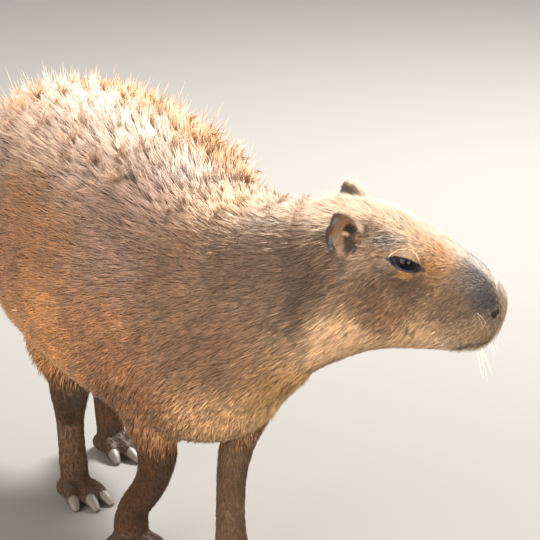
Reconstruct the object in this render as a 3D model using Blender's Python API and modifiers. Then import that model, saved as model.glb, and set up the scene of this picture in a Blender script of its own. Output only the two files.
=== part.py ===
"""A life-size capybara that stands with its head turned to its left.

Metres, +Z up. +X points along the trunk to the chest and +Y to the animal's left. The soles stand at Z = 0.
The body is modelled whole from lofts and muscle forms, fused, and then parted by thin cuts.
"""

import math
import random

import bmesh
import bpy
import numpy as np
from mathutils import Matrix, Vector
from mathutils.bvhtree import BVHTree

# Driving sizes, in metres and degrees
PART_GAP = 0.0003  # clearance between neighbouring nodes
RING_POINTS = 28  # points round each loft section
STEPS_BETWEEN = 4  # smooth sections between two named stations
BODY_VOXEL = 0.006
FOOT_VOXEL = 0.0030
BODY_TRIANGLES = 3500
FOOT_TRIANGLES = 400
SPARING = 0.0012  # how strongly the thinning spares the face and the lower legs
FACE_SPARING = 0.5
LEG_SPARING = 0.2

# Trunk and neck stations: x, y, heading, top, bottom, half width, height of the widest level, squareness
TRUNK = {
    "rump_tip": (-0.436, 0.000, 0, 0.410, 0.345, 0.026, 0.50, 2.0),
    "rump_end": (-0.424, 0.000, 0, 0.446, 0.304, 0.070, 0.54, 2.1),
    "rump": (-0.390, 0.000, 0, 0.487, 0.272, 0.106, 0.56, 2.1),
    "croup": (-0.332, 0.000, 0, 0.523, 0.248, 0.133, 0.56, 2.1),
    "hips": (-0.255, 0.000, 0, 0.546, 0.222, 0.151, 0.53, 2.1),
    "loin": (-0.150, 0.000, 0, 0.557, 0.200, 0.161, 0.45, 2.2),
    "belly": (-0.030, 0.000, 0, 0.558, 0.193, 0.167, 0.44, 2.2),
    "ribs": (0.080, 0.000, 0, 0.550, 0.190, 0.162, 0.45, 2.2),
    "shoulders": (0.170, 0.000, 2, 0.537, 0.188, 0.146, 0.46, 2.2),
    "chest": (0.240, 0.002, 6, 0.528, 0.196, 0.127, 0.48, 2.2),
    "brisket": (0.298, 0.010, 15, 0.531, 0.226, 0.110, 0.50, 2.2),
    "neck_base": (0.345, 0.026, 28, 0.534, 0.270, 0.097, 0.50, 2.2),
    "neck": (0.384, 0.048, 42, 0.543, 0.312, 0.087, 0.48, 2.2),
}

# The head looks along its own heading, from a point on the floor below the ears
HEAD_TURN = 56.0
HEAD_ORIGIN = Vector((0.430, 0.078, 0.0))

# Head stations: distance ahead of the ears, top, bottom, half width, height of the widest level, squareness
HEAD = {
    "occiput": (-0.028, 0.551, 0.340, 0.080, 0.42, 2.2),
    "ears": (0.003, 0.553, 0.357, 0.077, 0.38, 2.3),
    "jaw": (0.032, 0.550, 0.370, 0.073, 0.36, 2.4),
    "brow": (0.062, 0.543, 0.376, 0.066, 0.37, 2.4),
    "eyes": (0.090, 0.529, 0.376, 0.057, 0.40, 2.5),
    "bridge": (0.120, 0.511, 0.376, 0.050, 0.45, 2.7),
    "muzzle": (0.150, 0.491, 0.376, 0.047, 0.50, 2.9),
    "lips": (0.170, 0.477, 0.382, 0.045, 0.52, 2.9),
    "nostrils": (0.185, 0.463, 0.395, 0.039, 0.55, 2.7),
    "nose": (0.194, 0.453, 0.411, 0.029, 0.55, 2.4),
    "nose_tip": (0.199, 0.442, 0.426, 0.013, 0.50, 2.0),
}

# Muscle forms of the trunk: centre, radii, turn about Z, tilt about Y
MUSCLES = {
    "haunch_right": ((-0.175, -0.076, 0.320), (0.108, 0.066, 0.100), 0, -20),
    "haunch_left": ((-0.205, 0.078, 0.315), (0.110, 0.066, 0.104), 0, -16),
    "shoulder_right": ((0.190, -0.070, 0.345), (0.092, 0.068, 0.130), 0, 12),
    "shoulder_left": ((0.215, 0.068, 0.345), (0.088, 0.064, 0.130), 0, 8),
}

# Muscle forms of the head, in its own frame: centre on its left side, radii, turn, tilt
CHEEKS = {
    "cheek": ((0.030, 0.041, 0.432), (0.070, 0.034, 0.044), 0, 8),
    "brow_ridge": ((0.086, 0.032, 0.505), (0.040, 0.020, 0.018), -8, 20),
    "under_eye": ((0.094, 0.032, 0.480), (0.042, 0.020, 0.018), -8, 16),
    "nose_pad": ((0.176, 0.024, 0.448), (0.018, 0.016, 0.018), -20, 20),
    "ear_base": ((0.000, 0.046, 0.512), (0.024, 0.022, 0.026), 0, 0),
}

# Legs from the body down: x, y, z, half length fore and aft, half width
LEGS = {
    "hindleg_right": (
        (-0.190, -0.072, 0.330, 0.084, 0.052),
        (-0.132, -0.074, 0.242, 0.062, 0.044),
        (-0.108, -0.068, 0.192, 0.043, 0.033),
        (-0.132, -0.058, 0.150, 0.032, 0.027),
        (-0.160, -0.047, 0.108, 0.025, 0.021),
        (-0.150, -0.049, 0.070, 0.021, 0.020),
        (-0.138, -0.051, 0.040, 0.020, 0.021),
    ),
    "hindleg_left": (
        (-0.245, 0.085, 0.330, 0.100, 0.056),
        (-0.205, 0.090, 0.240, 0.076, 0.048),
        (-0.190, 0.080, 0.192, 0.046, 0.035),
        (-0.240, 0.070, 0.150, 0.032, 0.027),
        (-0.296, 0.062, 0.114, 0.025, 0.021),
        (-0.292, 0.061, 0.072, 0.021, 0.020),
        (-0.284, 0.062, 0.040, 0.020, 0.021),
    ),
    "foreleg_right": (
        (0.195, -0.085, 0.320, 0.074, 0.044),
        (0.194, -0.078, 0.245, 0.052, 0.038),
        (0.190, -0.065, 0.195, 0.036, 0.031),
        (0.170, -0.056, 0.152, 0.028, 0.025),
        (0.136, -0.053, 0.108, 0.024, 0.021),
        (0.098, -0.058, 0.066, 0.021, 0.022),
        (0.086, -0.058, 0.036, 0.020, 0.025),
    ),
    "foreleg_left": (
        (0.215, 0.078, 0.320, 0.070, 0.042),
        (0.212, 0.064, 0.245, 0.046, 0.035),
        (0.212, 0.044, 0.195, 0.030, 0.027),
        (0.214, 0.032, 0.150, 0.024, 0.022),
        (0.216, 0.028, 0.108, 0.021, 0.020),
        (0.218, 0.027, 0.066, 0.020, 0.021),
        (0.222, 0.027, 0.036, 0.020, 0.024),
    ),
}

# The outline that parts each leg from the torso: crown centre, foot centre, radii along X, Y and Z
SLEEVES = {
    "hindleg_right": ((-0.190, -0.128, 0.300), (-0.140, -0.062, -0.02), (0.120, 0.074, 0.105)),
    "hindleg_left": ((-0.222, 0.122, 0.300), (-0.255, 0.056, -0.02), (0.120, 0.076, 0.105)),
    "foreleg_right": ((0.190, -0.110, 0.290), (0.105, -0.052, -0.02), (0.078, 0.066, 0.090)),
    "foreleg_left": ((0.216, 0.100, 0.290), (0.218, 0.022, -0.02), (0.076, 0.062, 0.090)),
}

# Feet: leg, ball of the foot, heading, spread between toes, toe lengths from right to left, ankle height
FEET = {
    "hindfoot_right": ("hindleg_right", (-0.132, -0.051), 2, 13, (0.050, 0.060, 0.052), 0.050),
    "hindfoot_left": ("hindleg_left", (-0.278, 0.062), 10, 15, (0.050, 0.060, 0.052), 0.050),
    "forefoot_right": ("foreleg_right", (0.088, -0.058), 2, 14, (0.036, 0.046, 0.046, 0.036), 0.046),
    "forefoot_left": ("foreleg_left", (0.226, 0.027), 8, 14, (0.036, 0.046, 0.046, 0.036), 0.046),
}
TOE_PITCH = 0.0125  # between the roots of neighbouring toes
TOE_ROOT = (0.002, 0.019)  # ahead of the ball and above the floor
PAD_RADII = (0.030, 0.0095, 0.016)  # the second is for each toe
ANKLE_TRIM = 0.0014  # the fused leg comes out this much slimmer than its stations
HEEL = (0.012, 0.016, 0.020)  # height, half length and half width of the ankle's last ring

# A toe, its claw and its web, from root to tip: share of the toe's length, drop, half height, half width
TOE = (
    (-0.10, 0.000, 0.0110, 0.0110),
    (0.45, 0.003, 0.0112, 0.0118),
    (0.78, 0.009, 0.0100, 0.0112),
    (0.98, 0.013, 0.0065, 0.0080),
)
CLAW = ((0.76, 0.008, 0.0078, 0.0080), (1.02, 0.0115, 0.0064, 0.0074), (1.22, 0.0155, 0.0032, 0.0052))
WEB = (0.34, 0.0130, 0.0065)  # half length as a share, half width, half height

# Where the neck begins and ends: a point on the plane, its heading, its lean back from upright
NECK_BASE_CUT = ((0.322, 0.018, 0.40), 20, 12)
HEAD_CUT = ((0.404, 0.055, 0.44), 40, -6)

# Eyes, in the head's frame, on its left side
EYE_CENTRE = Vector((0.0825, 0.0440, 0.4965))
EYE_RADIUS = 0.0135
LID_THICKNESS = 0.0034
LID_OPENING = Vector((0.0172, 0.0160, 0.0066))
EYE_SLOPE = 20.0
EYE_TURN = 8.0  # how far the eye looks forward from straight out
SLIT_OUT = 0.0155  # from the eye's middle to the middle of the lids' opening

# Ears, in the head's frame, on its left side
EAR_CENTRE = Vector((0.007, 0.062, 0.530))
EAR_SWEPT = {"right": 0.0, "left": 0.007}  # how far back each ear is held
EAR_RADII = Vector((0.0200, 0.0105, 0.0270))
EAR_TURN = 28.0  # how far the cup faces forward from straight out
EAR_LEAN = -16.0
EAR_SCOOP = Vector((0.0010, 0.0082, 0.0015))  # from the ear's middle to the middle of its cup
EAR_WALL = Vector((0.0030, -0.0010, 0.0035))  # how far the cup's radii fall short of the ear's
EAR_ROOT = (Vector((-0.004, -0.012, -0.014)), Vector((0.0130, 0.0120, 0.0150)))

# Nostrils and mouth, in the head's frame
NOSTRIL = (Vector((0.1890, 0.0255, 0.4290)), Vector((0.0085, 0.0042, 0.0062)), 38, -25)
MOUTH_MIDDLE = 0.142  # the slit is seen from here, ahead of the ears, round to each corner
MOUTH_HEIGHTS = (0.384, 0.397)  # at the corners and in front
MOUTH_SWEEP = 104.0
MOUTH_SLIT = (0.0022, 0.0050)  # half its height outside the lips, and its depth
MOUTH_STEPS = 22

# Locks of the bristly coat, set over the back and rump; angles are from straight up
LOCK_AXIS_HEIGHT = 0.380
LOCK_RINGS = 12
LOCK_FRONT, LOCK_REAR = 0.285, -0.290
RUMP_TURNS = (22, 44, 66)
LOCK_SPACING = 0.039  # across the body
LOCK_EDGE = 78.0
LOCK_LOW = 0.420  # roots stay above the leg outlines
LOCK_LENGTH = (0.048, 0.072)  # at the crest and low on the flank, past the root
LOCK_LIFT = (46.0, 16.0)
LOCK_WIDTH = 0.036
LOCK_THICKNESS = 0.0075
LOCK_SUNK = 0.014
LOCK_SEED = 7

# A lock's rings from its sunk root: share of its length, of its width, of its thickness and of its lift
LOCK_SHAPE = ((-1, 0.6, 1.0, 1.0), (0.4, 1.0, 0.9, 0.9), (0.35, 0.7, 0.6, 0.6))
LOCK_TIP = (0.3, 0.4)  # share of its length and of its lift

COLOURS = {
    "torso": (0.36, 0.23, 0.13),
    "neck": (0.33, 0.22, 0.14),
    "head": (0.38, 0.25, 0.15),
    "leg": (0.16, 0.10, 0.06),
    "foot": (0.10, 0.07, 0.05),
    "ear": (0.20, 0.15, 0.13),
    "eye": (0.010, 0.008, 0.007),
}
COAT_ROUGHNESS = 0.85
EYE_ROUGHNESS = 0.08


def clear_scene():
    for old in list(bpy.data.objects):
        bpy.data.objects.remove(old)


def collection(name, hidden=False):
    made = bpy.data.collections.new(name)
    made.hide_render = hidden
    bpy.context.scene.collection.children.link(made)
    return made


def add_object(name, bm, where):
    mesh = bpy.data.meshes.new(name)
    bm.to_mesh(mesh)
    bm.free()
    made = bpy.data.objects.new(name, mesh)
    where.objects.link(made)
    return made


def copy_of(obj, name, where):
    made = bpy.data.objects.new(name, obj.data.copy())
    where.objects.link(made)
    return made


def remove(objects):
    for obj in list(objects):
        bpy.data.objects.remove(obj)


def settle(obj):
    """Replaces the object's mesh by its evaluated one, and clears its modifiers."""
    graph = bpy.context.evaluated_depsgraph_get()
    mesh = bpy.data.meshes.new_from_object(obj.evaluated_get(graph))
    obj.modifiers.clear()
    obj.data = mesh


def largest_surface(obj):
    """Keeps only the closed surface with the most corners."""
    bm = bmesh.new()
    bm.from_mesh(obj.data)
    left = set(bm.verts)
    shells = []
    while left:
        shell = [left.pop()]
        for vert in shell:
            for edge in vert.link_edges:
                other = edge.other_vert(vert)
                if other in left:
                    left.remove(other)
                    shell.append(other)
        shells.append(shell)
    shells.sort(key=len)
    bmesh.ops.delete(bm, geom=[v for shell in shells[:-1] for v in shell], context="VERTS")
    bm.to_mesh(obj.data)
    bm.free()


def boolean(obj, other, operation, solver="EXACT"):
    step = obj.modifiers.new("step", "BOOLEAN")
    step.operation = operation
    step.object = other
    step.solver = solver
    settle(obj)
    largest_surface(obj)


def keep_side(obj, point, normal):
    """Cuts by a plane and keeps the side that the normal points to, with a flat cap."""
    bm = bmesh.new()
    bm.from_mesh(obj.data)
    everything = bm.verts[:] + bm.edges[:] + bm.faces[:]
    cut = bmesh.ops.bisect_plane(bm, geom=everything, plane_co=point, plane_no=normal, clear_inner=True)
    rim = [e for e in cut["geom_cut"] if isinstance(e, bmesh.types.BMEdge)]
    bmesh.ops.holes_fill(bm, edges=rim)
    bmesh.ops.triangulate(bm, faces=[f for f in bm.faces if len(f.verts) > 3])
    bm.to_mesh(obj.data)
    bm.free()


def smooth_between(rows):
    """Catmull-Rom values between the rows of a station table."""
    rows = np.array(rows, float)
    padded = np.vstack([2 * rows[0] - rows[1], rows, 2 * rows[-1] - rows[-2]])
    made = []
    for i in range(1, len(rows)):
        before, start, end, after = padded[i - 1 : i + 3]
        for step in range(STEPS_BETWEEN):
            t = step / STEPS_BETWEEN
            flat = 2 * start + (end - before) * t
            bent = (2 * before - 5 * start + 4 * end - after) * t**2
            made.append(0.5 * (flat + bent + (3 * start - before - 3 * end + after) * t**3))
    made.append(rows[-1])
    return made


def section(half_width, top, bottom, wide, power):
    """(across, height) points of one body section, widest at that share of its height."""
    level = bottom + wide * (top - bottom)
    points = []
    for i in range(RING_POINTS):
        angle = 2 * math.pi * i / RING_POINTS
        c, s = math.cos(angle), math.sin(angle)
        reach = top - level if s > 0 else level - bottom
        across = math.copysign(abs(c) ** (2 / power), c)
        upward = math.copysign(abs(s) ** (2 / power), s)
        points.append((half_width * across, level + reach * upward))
    return points


def loft(name, rings, where):
    bm = bmesh.new()
    rows = [[bm.verts.new(p) for p in ring] for ring in rings]
    for near, far in zip(rows, rows[1:]):
        for i in range(len(near)):
            j = (i + 1) % len(near)
            bm.faces.new((near[i], near[j], far[j], far[i]))
    bm.faces.new(rows[0])
    bm.faces.new(rows[-1])
    bmesh.ops.recalc_face_normals(bm, faces=bm.faces)
    return add_object(name, bm, where)


def body_ring(x, y, heading, top, bottom, half_width, wide, power):
    side = Vector((-math.sin(math.radians(heading)), math.cos(math.radians(heading)), 0))
    centre = Vector((x, y, 0))
    outline = section(half_width, top, bottom, wide, power)
    return [centre + side * across + Vector((0, 0, z)) for across, z in outline]


def head_place():
    return Matrix.Translation(HEAD_ORIGIN) @ Matrix.Rotation(math.radians(HEAD_TURN), 4, "Z")


def on_side(point, side):
    """A point of the head's left side, or its mirror image on the right."""
    return Vector((point[0], side * point[1], point[2]))


def head_ring(ahead, top, bottom, half_width, wide, power):
    place = head_place()
    outline = section(half_width, top, bottom, wide, power)
    return [place @ Vector((ahead, across, z)) for across, z in outline]


def ellipsoid(name, place, radii, where, rings=12):
    bm = bmesh.new()
    bmesh.ops.create_uvsphere(bm, u_segments=2 * rings, v_segments=rings, radius=1)
    bm.transform(place @ Matrix.Diagonal((*radii, 1)))
    return add_object(name, bm, where)


def turned(centre, turn, tilt):
    spin = Matrix.Rotation(math.radians(turn), 4, "Z") @ Matrix.Rotation(math.radians(tilt), 4, "Y")
    return Matrix.Translation(centre) @ spin


def limb(name, stations, where, points=RING_POINTS // 2):
    """A leg or toe: ovals across a path that runs through the stations."""
    rows = smooth_between(stations)
    rings = []
    for i, (x, y, z, fore, wide) in enumerate(rows):
        before, after = rows[max(i - 1, 0)], rows[min(i + 1, len(rows) - 1)]
        along = Vector(after[:3] - before[:3]).normalized()
        across = (Vector((0, 1, 0)) - along * along.y).normalized()
        front = across.cross(along)
        ring = []
        for k in range(points):
            angle = 2 * math.pi * k / points
            ring.append(Vector((x, y, z)) + front * fore * math.cos(angle) + across * wide * math.sin(angle))
        rings.append(ring)
    return loft(name, rings, where)


def fuse(pieces, voxel, smoothing):
    """Joins overlapping forms into one closed skin."""
    base = pieces[0]
    with bpy.context.temp_override(
        active_object=base, object=base, selected_editable_objects=pieces, selected_objects=pieces
    ):
        bpy.ops.object.join()
    remesh = base.modifiers.new("remesh", "REMESH")
    remesh.mode = "VOXEL"
    remesh.voxel_size = voxel
    smooth = base.modifiers.new("smooth", "SMOOTH")
    smooth.factor = 0.5
    smooth.iterations = smoothing
    settle(base)
    largest_surface(base)
    return base


def thin(obj, triangles, spare=None):
    """Lowers the mesh to about that many triangles, and spares what the function weighs high."""
    fewer = obj.modifiers.new("fewer", "DECIMATE")
    fewer.ratio = min(1.0, triangles / sum(len(p.vertices) - 2 for p in obj.data.polygons))
    fewer.use_collapse_triangulate = True
    if spare:
        group = obj.vertex_groups.new(name="thin")
        for vert in obj.data.vertices:
            group.add([vert.index], 1 - spare(vert.co), "REPLACE")
        fewer.vertex_group = "thin"
        fewer.vertex_group_factor = SPARING
    settle(obj)


def spared(point):
    face = (point - head_place() @ Vector((0.10, 0, 0.45))).length < 0.15
    return FACE_SPARING if face else LEG_SPARING if point.z < 0.19 else 0.0


def whole_body(helpers):
    place = head_place()
    trunk = [body_ring(*row) for row in smooth_between(list(TRUNK.values()))]
    head = [head_ring(*row) for row in smooth_between(list(HEAD.values()))]
    pieces = [loft("trunk_and_head", trunk + head, helpers)]
    for name, (centre, radii, turn, tilt) in MUSCLES.items():
        pieces.append(ellipsoid(name, turned(centre, turn, tilt), radii, helpers))
    for name, (centre, radii, turn, tilt) in CHEEKS.items():
        for side in (-1, 1):
            spot = place @ turned(on_side(centre, side), side * turn, tilt)
            pieces.append(ellipsoid(name, spot, radii, helpers))
    pieces += [limb(name, stations, helpers) for name, stations in LEGS.items()]
    body = fuse(pieces, BODY_VOXEL, 5)
    thin(body, BODY_TRIANGLES, spared)
    return body


def sleeve(name, grow, where):
    """A domed sleeve round a leg, from its crown to below the floor."""
    crown, foot, radii = SLEEVES[name]
    bm = bmesh.new()
    bmesh.ops.create_uvsphere(bm, u_segments=14, v_segments=8, radius=1)
    for vert in bm.verts:
        if vert.co.z < -0.01:
            low = Vector((vert.co.x, vert.co.y, 0)).normalized() if vert.co.z > -0.99 else Vector()
            spread = Vector(((radii[0] + grow) * low.x, (radii[1] + grow) * low.y, -grow))
            vert.co = Vector(foot) + spread
        else:
            vert.co = Vector(crown) + Vector(c * (r + grow) for c, r in zip(vert.co, radii))
    bmesh.ops.delete(bm, geom=bm.edges[:], context="EDGES_FACES")
    bmesh.ops.remove_doubles(bm, verts=bm.verts[:], dist=PART_GAP / 10)
    bmesh.ops.convex_hull(bm, input=bm.verts[:])
    bmesh.ops.delete(bm, geom=[v for v in bm.verts if not v.link_faces], context="VERTS")
    bmesh.ops.recalc_face_normals(bm, faces=bm.faces)
    return add_object(f"{name}_sleeve", bm, where)


def part_legs(body, animal, helpers):
    legs = {}
    for name in LEGS:
        legs[name] = copy_of(body, name, animal)
        boolean(legs[name], sleeve(name, 0.0, helpers), "INTERSECT")
    for name in LEGS:
        boolean(body, sleeve(name, PART_GAP, helpers), "DIFFERENCE")
    for name, (leg, _, _, _, _, ankle) in FEET.items():
        keep_side(legs[leg], (0, 0, ankle + PART_GAP), (0, 0, 1))
        largest_surface(legs[leg])
    return legs


def cut_normal(heading, lean):
    spin = Matrix.Rotation(math.radians(heading), 3, "Z") @ Matrix.Rotation(math.radians(lean), 3, "Y")
    return spin @ Vector((1, 0, 0))


def part_neck(body, animal):
    """Splits the legless body into torso, neck and head."""
    base, base_normal = Vector(NECK_BASE_CUT[0]), cut_normal(*NECK_BASE_CUT[1:])
    nape, nape_normal = Vector(HEAD_CUT[0]), cut_normal(*HEAD_CUT[1:])
    neck = copy_of(body, "neck", animal)
    keep_side(neck, base + base_normal * PART_GAP, base_normal)
    keep_side(neck, nape, -nape_normal)
    head = copy_of(body, "head", animal)
    keep_side(head, nape + nape_normal * PART_GAP, nape_normal)
    torso = copy_of(body, "torso", animal)
    keep_side(torso, base, -base_normal)
    for node in (neck, head, torso):
        largest_surface(node)
    return torso, neck, head


def toe(place, length, helpers):
    """One toe with its blunt claw and the web at its root, pointing along X from its root."""
    pieces = []
    for name, rows in (("toe", TOE), ("claw", CLAW)):
        stations = [(share * length, 0, -drop, tall, wide) for share, drop, tall, wide in rows]
        pieces.append(limb(name, stations, helpers))
    share, wide, tall = WEB
    middle = Matrix.Translation((share * length, 0, -TOE_ROOT[1] / 2))
    pieces.append(ellipsoid("web", middle, (share * length, wide, tall), helpers))
    for piece in pieces:
        piece.data.transform(place)
    return pieces


def foot(name, animal, helpers):
    leg, (x, y), heading, spread, toes, ankle = FEET[name]
    place = turned((x, y, 0), heading, 0)
    ankle_rows = [(*row[:3], row[3] - ANKLE_TRIM, row[4] - ANKLE_TRIM) for row in LEGS[leg][-3:]]
    pieces = [limb("ankle", ankle_rows + [(x, y, *HEEL)], helpers)]
    long, wide, tall = PAD_RADII
    sole = place @ Matrix.Translation((0, 0, tall * 0.8))
    pieces.append(ellipsoid("pad", sole, (long, wide * len(toes), tall), helpers))
    for i, length in enumerate(toes):
        aside = i - (len(toes) - 1) / 2
        root = Vector((TOE_ROOT[0], aside * TOE_PITCH, TOE_ROOT[1]))
        pieces += toe(place @ turned(root, aside * spread, 0), length, helpers)
    made = fuse(pieces, FOOT_VOXEL, 3)
    thin(made, FOOT_TRIANGLES)
    keep_side(made, (0, 0, 0), (0, 0, 1))
    keep_side(made, (0, 0, ankle), (0, 0, -1))
    largest_surface(made)
    made.name = name
    helpers.objects.unlink(made)
    animal.objects.link(made)


def eye_and_lids(head, side, animal, helpers):
    centre = on_side(EYE_CENTRE, side)
    turn = Matrix.Rotation(math.radians(-side * EYE_TURN), 4, "Z")
    place = head_place() @ Matrix.Translation(centre) @ turn
    ball = Vector((EYE_RADIUS,) * 3)
    lids = ellipsoid("lids", place, ball + Vector((LID_THICKNESS,) * 3), helpers, 9)
    boolean(head, lids, "UNION")
    slope = Matrix.Rotation(math.radians(EYE_SLOPE), 4, "Y")
    outward = Matrix.Translation((0, side * SLIT_OUT, 0))
    boolean(head, ellipsoid("slit", place @ slope @ outward, LID_OPENING, helpers, 8), "DIFFERENCE")
    pocket = ellipsoid("pocket", place, ball + Vector((PART_GAP,) * 3), helpers, 9)
    boolean(head, pocket, "DIFFERENCE")
    name = "eye_left" if side > 0 else "eye_right"
    return ellipsoid(name, place, ball - Vector((PART_GAP,) * 3), animal, 8)


def ear_solid(name, side, grow, where, helpers):
    """The ear's closed outer form; the cup is scooped from it afterwards."""
    face = Matrix.Rotation(math.radians(-side * EAR_TURN), 4, "Z") @ Matrix.Rotation(
        math.radians(side * EAR_LEAN), 4, "X"
    )
    centre = on_side(EAR_CENTRE, side)
    centre.x -= EAR_SWEPT["left" if side > 0 else "right"]
    place = head_place() @ Matrix.Translation(centre) @ face
    swell = Vector((grow,) * 3)
    ear = ellipsoid(name, place, EAR_RADII + swell, where, 8)
    root_centre, root_radii = EAR_ROOT
    root_place = place @ Matrix.Translation(on_side(root_centre, side))
    boolean(ear, ellipsoid("root", root_place, root_radii + swell, helpers, 6), "UNION")
    return ear, place


def ear(head, side, animal, helpers):
    socket, _ = ear_solid("socket", side, PART_GAP, helpers, helpers)
    boolean(head, socket, "DIFFERENCE")
    name = "ear_left" if side > 0 else "ear_right"
    made, place = ear_solid(name, side, 0.0, animal, helpers)
    scoop_place = place @ Matrix.Translation(on_side(EAR_SCOOP, side))
    boolean(made, ellipsoid("scoop", scoop_place, EAR_RADII - EAR_WALL, helpers, 7), "DIFFERENCE")


def nostrils(head, helpers):
    centre, radii, turn, tilt = NOSTRIL
    for side in (-1, 1):
        spot = head_place() @ turned(on_side(centre, side), side * turn, tilt)
        boolean(head, ellipsoid("nostril", spot, radii, helpers, 6), "DIFFERENCE")


def surface_tree(obj):
    graph = bpy.context.evaluated_depsgraph_get()
    return BVHTree.FromObject(obj, graph)


def mouth_line(head, helpers):
    """A slit that follows the muzzle from one corner of the mouth round to the other."""
    tree = surface_tree(head)
    place = head_place()
    corner_z, front_z = MOUTH_HEIGHTS
    height, depth = MOUTH_SLIT
    rings = []
    for i in range(MOUTH_STEPS + 1):
        angle = math.radians(MOUTH_SWEEP * (2 * i / MOUTH_STEPS - 1))
        share = max(0.0, math.cos(angle)) ** 0.7
        start = place @ Vector((MOUTH_MIDDLE, 0, corner_z + (front_z - corner_z) * share))
        way = place.to_3x3() @ Vector((math.cos(angle), math.sin(angle), 0))
        hit = tree.ray_cast(start, way)[0]
        fade = min(1.0, 0.15 + 4 * min(i, MOUTH_STEPS - i) / MOUTH_STEPS)
        inner, outer = hit - way * depth * fade, hit + way * depth
        tall = Vector((0, 0, height * (0.4 + 0.6 * fade)))
        rings.append([inner, outer - tall, outer + tall])
    boolean(head, loft("mouth", rings, helpers), "DIFFERENCE")


def lock(point, normal, lie, length, lift, where):
    """One flat, tapered lock: rooted in the body, raised along its lie and bent back towards it."""
    side = normal.cross(lie).normalized()
    rings = []
    spot = point
    for share, wide, thick, rise in LOCK_SHAPE:
        angle = math.radians(lift * rise)
        way = lie * math.cos(angle) + normal * math.sin(angle)
        over = normal * math.cos(angle) - lie * math.sin(angle)
        spot = point - way * LOCK_SUNK if share < 0 else spot + way * length * share
        across = side * LOCK_WIDTH * wide / 2
        rings.append([spot + across, spot + over * LOCK_THICKNESS * thick, spot - across])
    share, rise = LOCK_TIP
    angle = math.radians(lift * rise)
    tip = spot + (lie * math.cos(angle) + normal * math.sin(angle)) * length * share
    bm = bmesh.new()
    rows = [[bm.verts.new(p) for p in ring] for ring in rings]
    end = bm.verts.new(tip)
    for near, far in zip(rows, rows[1:]):
        for i in range(len(near)):
            bm.faces.new((near[i], near[i - 1], far[i - 1]))
            bm.faces.new((near[i], far[i - 1], far[i]))
    for i in range(len(rows[-1])):
        bm.faces.new((rows[-1][i], rows[-1][i - 1], end))
    bm.faces.new(rows[0])
    bmesh.ops.recalc_face_normals(bm, faces=bm.faces)
    return add_object("lock", bm, where)


def lock_rings():
    """Start points and backward turns of the rays that set the rings of locks along the back."""
    spread = (LOCK_FRONT - LOCK_REAR) / (LOCK_RINGS - 1)
    rings = [(LOCK_FRONT - spread * i, 0) for i in range(LOCK_RINGS - 1)]
    return rings + [(LOCK_REAR, turn) for turn in (0, *RUMP_TURNS)]


def bristle(torso):
    """Covers the back with locks and joins them to the torso by one union."""
    locks = collection("locks", hidden=True)
    tree = surface_tree(torso)
    draw = random.Random(LOCK_SEED)
    base, base_normal = Vector(NECK_BASE_CUT[0]), cut_normal(*NECK_BASE_CUT[1:])
    for ring, (start, turn) in enumerate(lock_rings()):
        origin = Vector((start, 0, LOCK_AXIS_HEIGHT))
        back = math.radians(turn)
        girth = tree.ray_cast(origin, Vector((-math.sin(back), 0, math.cos(back))))[3] * math.cos(back)
        step = math.degrees(LOCK_SPACING / max(girth, LOCK_SPACING))
        count = int(LOCK_EDGE / step)
        for row in range(-count, count + 1):
            angle = math.radians((row + 0.5 * (ring % 2)) * step + draw.uniform(-1.5, 1.5))
            way = Vector((0, math.sin(angle), math.cos(angle))) * math.cos(back)
            point, normal, _, _ = tree.ray_cast(origin, way - Vector((math.sin(back), 0, 0)))
            clear = (base - point).dot(base_normal) > LOCK_SUNK * 1.5
            if point.z < LOCK_LOW or not clear:
                continue
            low = min(1.0, abs(math.degrees(angle)) / LOCK_EDGE)
            lie = Vector((-1, draw.uniform(-0.2, 0.2), -0.1 - 0.35 * low))
            lie = (lie - normal * lie.dot(normal)).normalized()
            length = LOCK_LENGTH[0] + (LOCK_LENGTH[1] - LOCK_LENGTH[0]) * low
            lift = LOCK_LIFT[0] + (LOCK_LIFT[1] - LOCK_LIFT[0]) * low**0.6
            vary, sway = draw.uniform(0.85, 1.15), draw.uniform(0.85, 1.15)
            lock(point, normal, lie, length * vary, lift * sway, locks)
    union = torso.modifiers.new("union", "BOOLEAN")
    union.operation = "UNION"
    union.operand_type = "COLLECTION"
    union.collection = locks
    union.solver = "EXACT"
    settle(torso)
    remove(locks.objects)
    largest_surface(torso)


def paint(obj, colour, roughness):
    material = bpy.data.materials.new(obj.name)
    material.use_nodes = True
    shader = material.node_tree.nodes["Principled BSDF"]
    shader.inputs["Base Color"].default_value = (*colour, 1)
    shader.inputs["Roughness"].default_value = roughness
    shader.inputs["Metallic"].default_value = 0
    obj.data.materials.clear()
    obj.data.materials.append(material)


def centre_on_floor(objects):
    """Puts the middle of the model's bounding box over the origin."""
    corners = np.array([v.co for obj in objects for v in obj.data.vertices])
    low, high = corners.min(axis=0), corners.max(axis=0)
    shift = Matrix.Translation((-(low[0] + high[0]) / 2, -(low[1] + high[1]) / 2, -low[2]))
    for obj in objects:
        obj.data.transform(shift)


def main():
    clear_scene()
    helpers = collection("helpers", hidden=True)
    animal = collection("capybara")
    body = whole_body(helpers)
    part_legs(body, animal, helpers)
    torso, neck, head = part_neck(body, animal)
    bristle(torso)
    for side in (-1, 1):
        eye_and_lids(head, side, animal, helpers)
        ear(head, side, animal, helpers)
    nostrils(head, helpers)
    mouth_line(head, helpers)
    for name in FEET:
        foot(name, animal, helpers)
    remove(helpers.objects)
    centre_on_floor(animal.objects)
    for obj in animal.objects:
        kind = obj.name.split("_")[0]
        kind = "leg" if kind.endswith("leg") else "foot" if kind.endswith("foot") else kind
        paint(obj, COLOURS[kind], EYE_ROUGHNESS if kind == "eye" else COAT_ROUGHNESS)


main()
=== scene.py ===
import math
import bmesh
import bpy
import numpy as np
from mathutils import Matrix, Vector, kdtree


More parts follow.
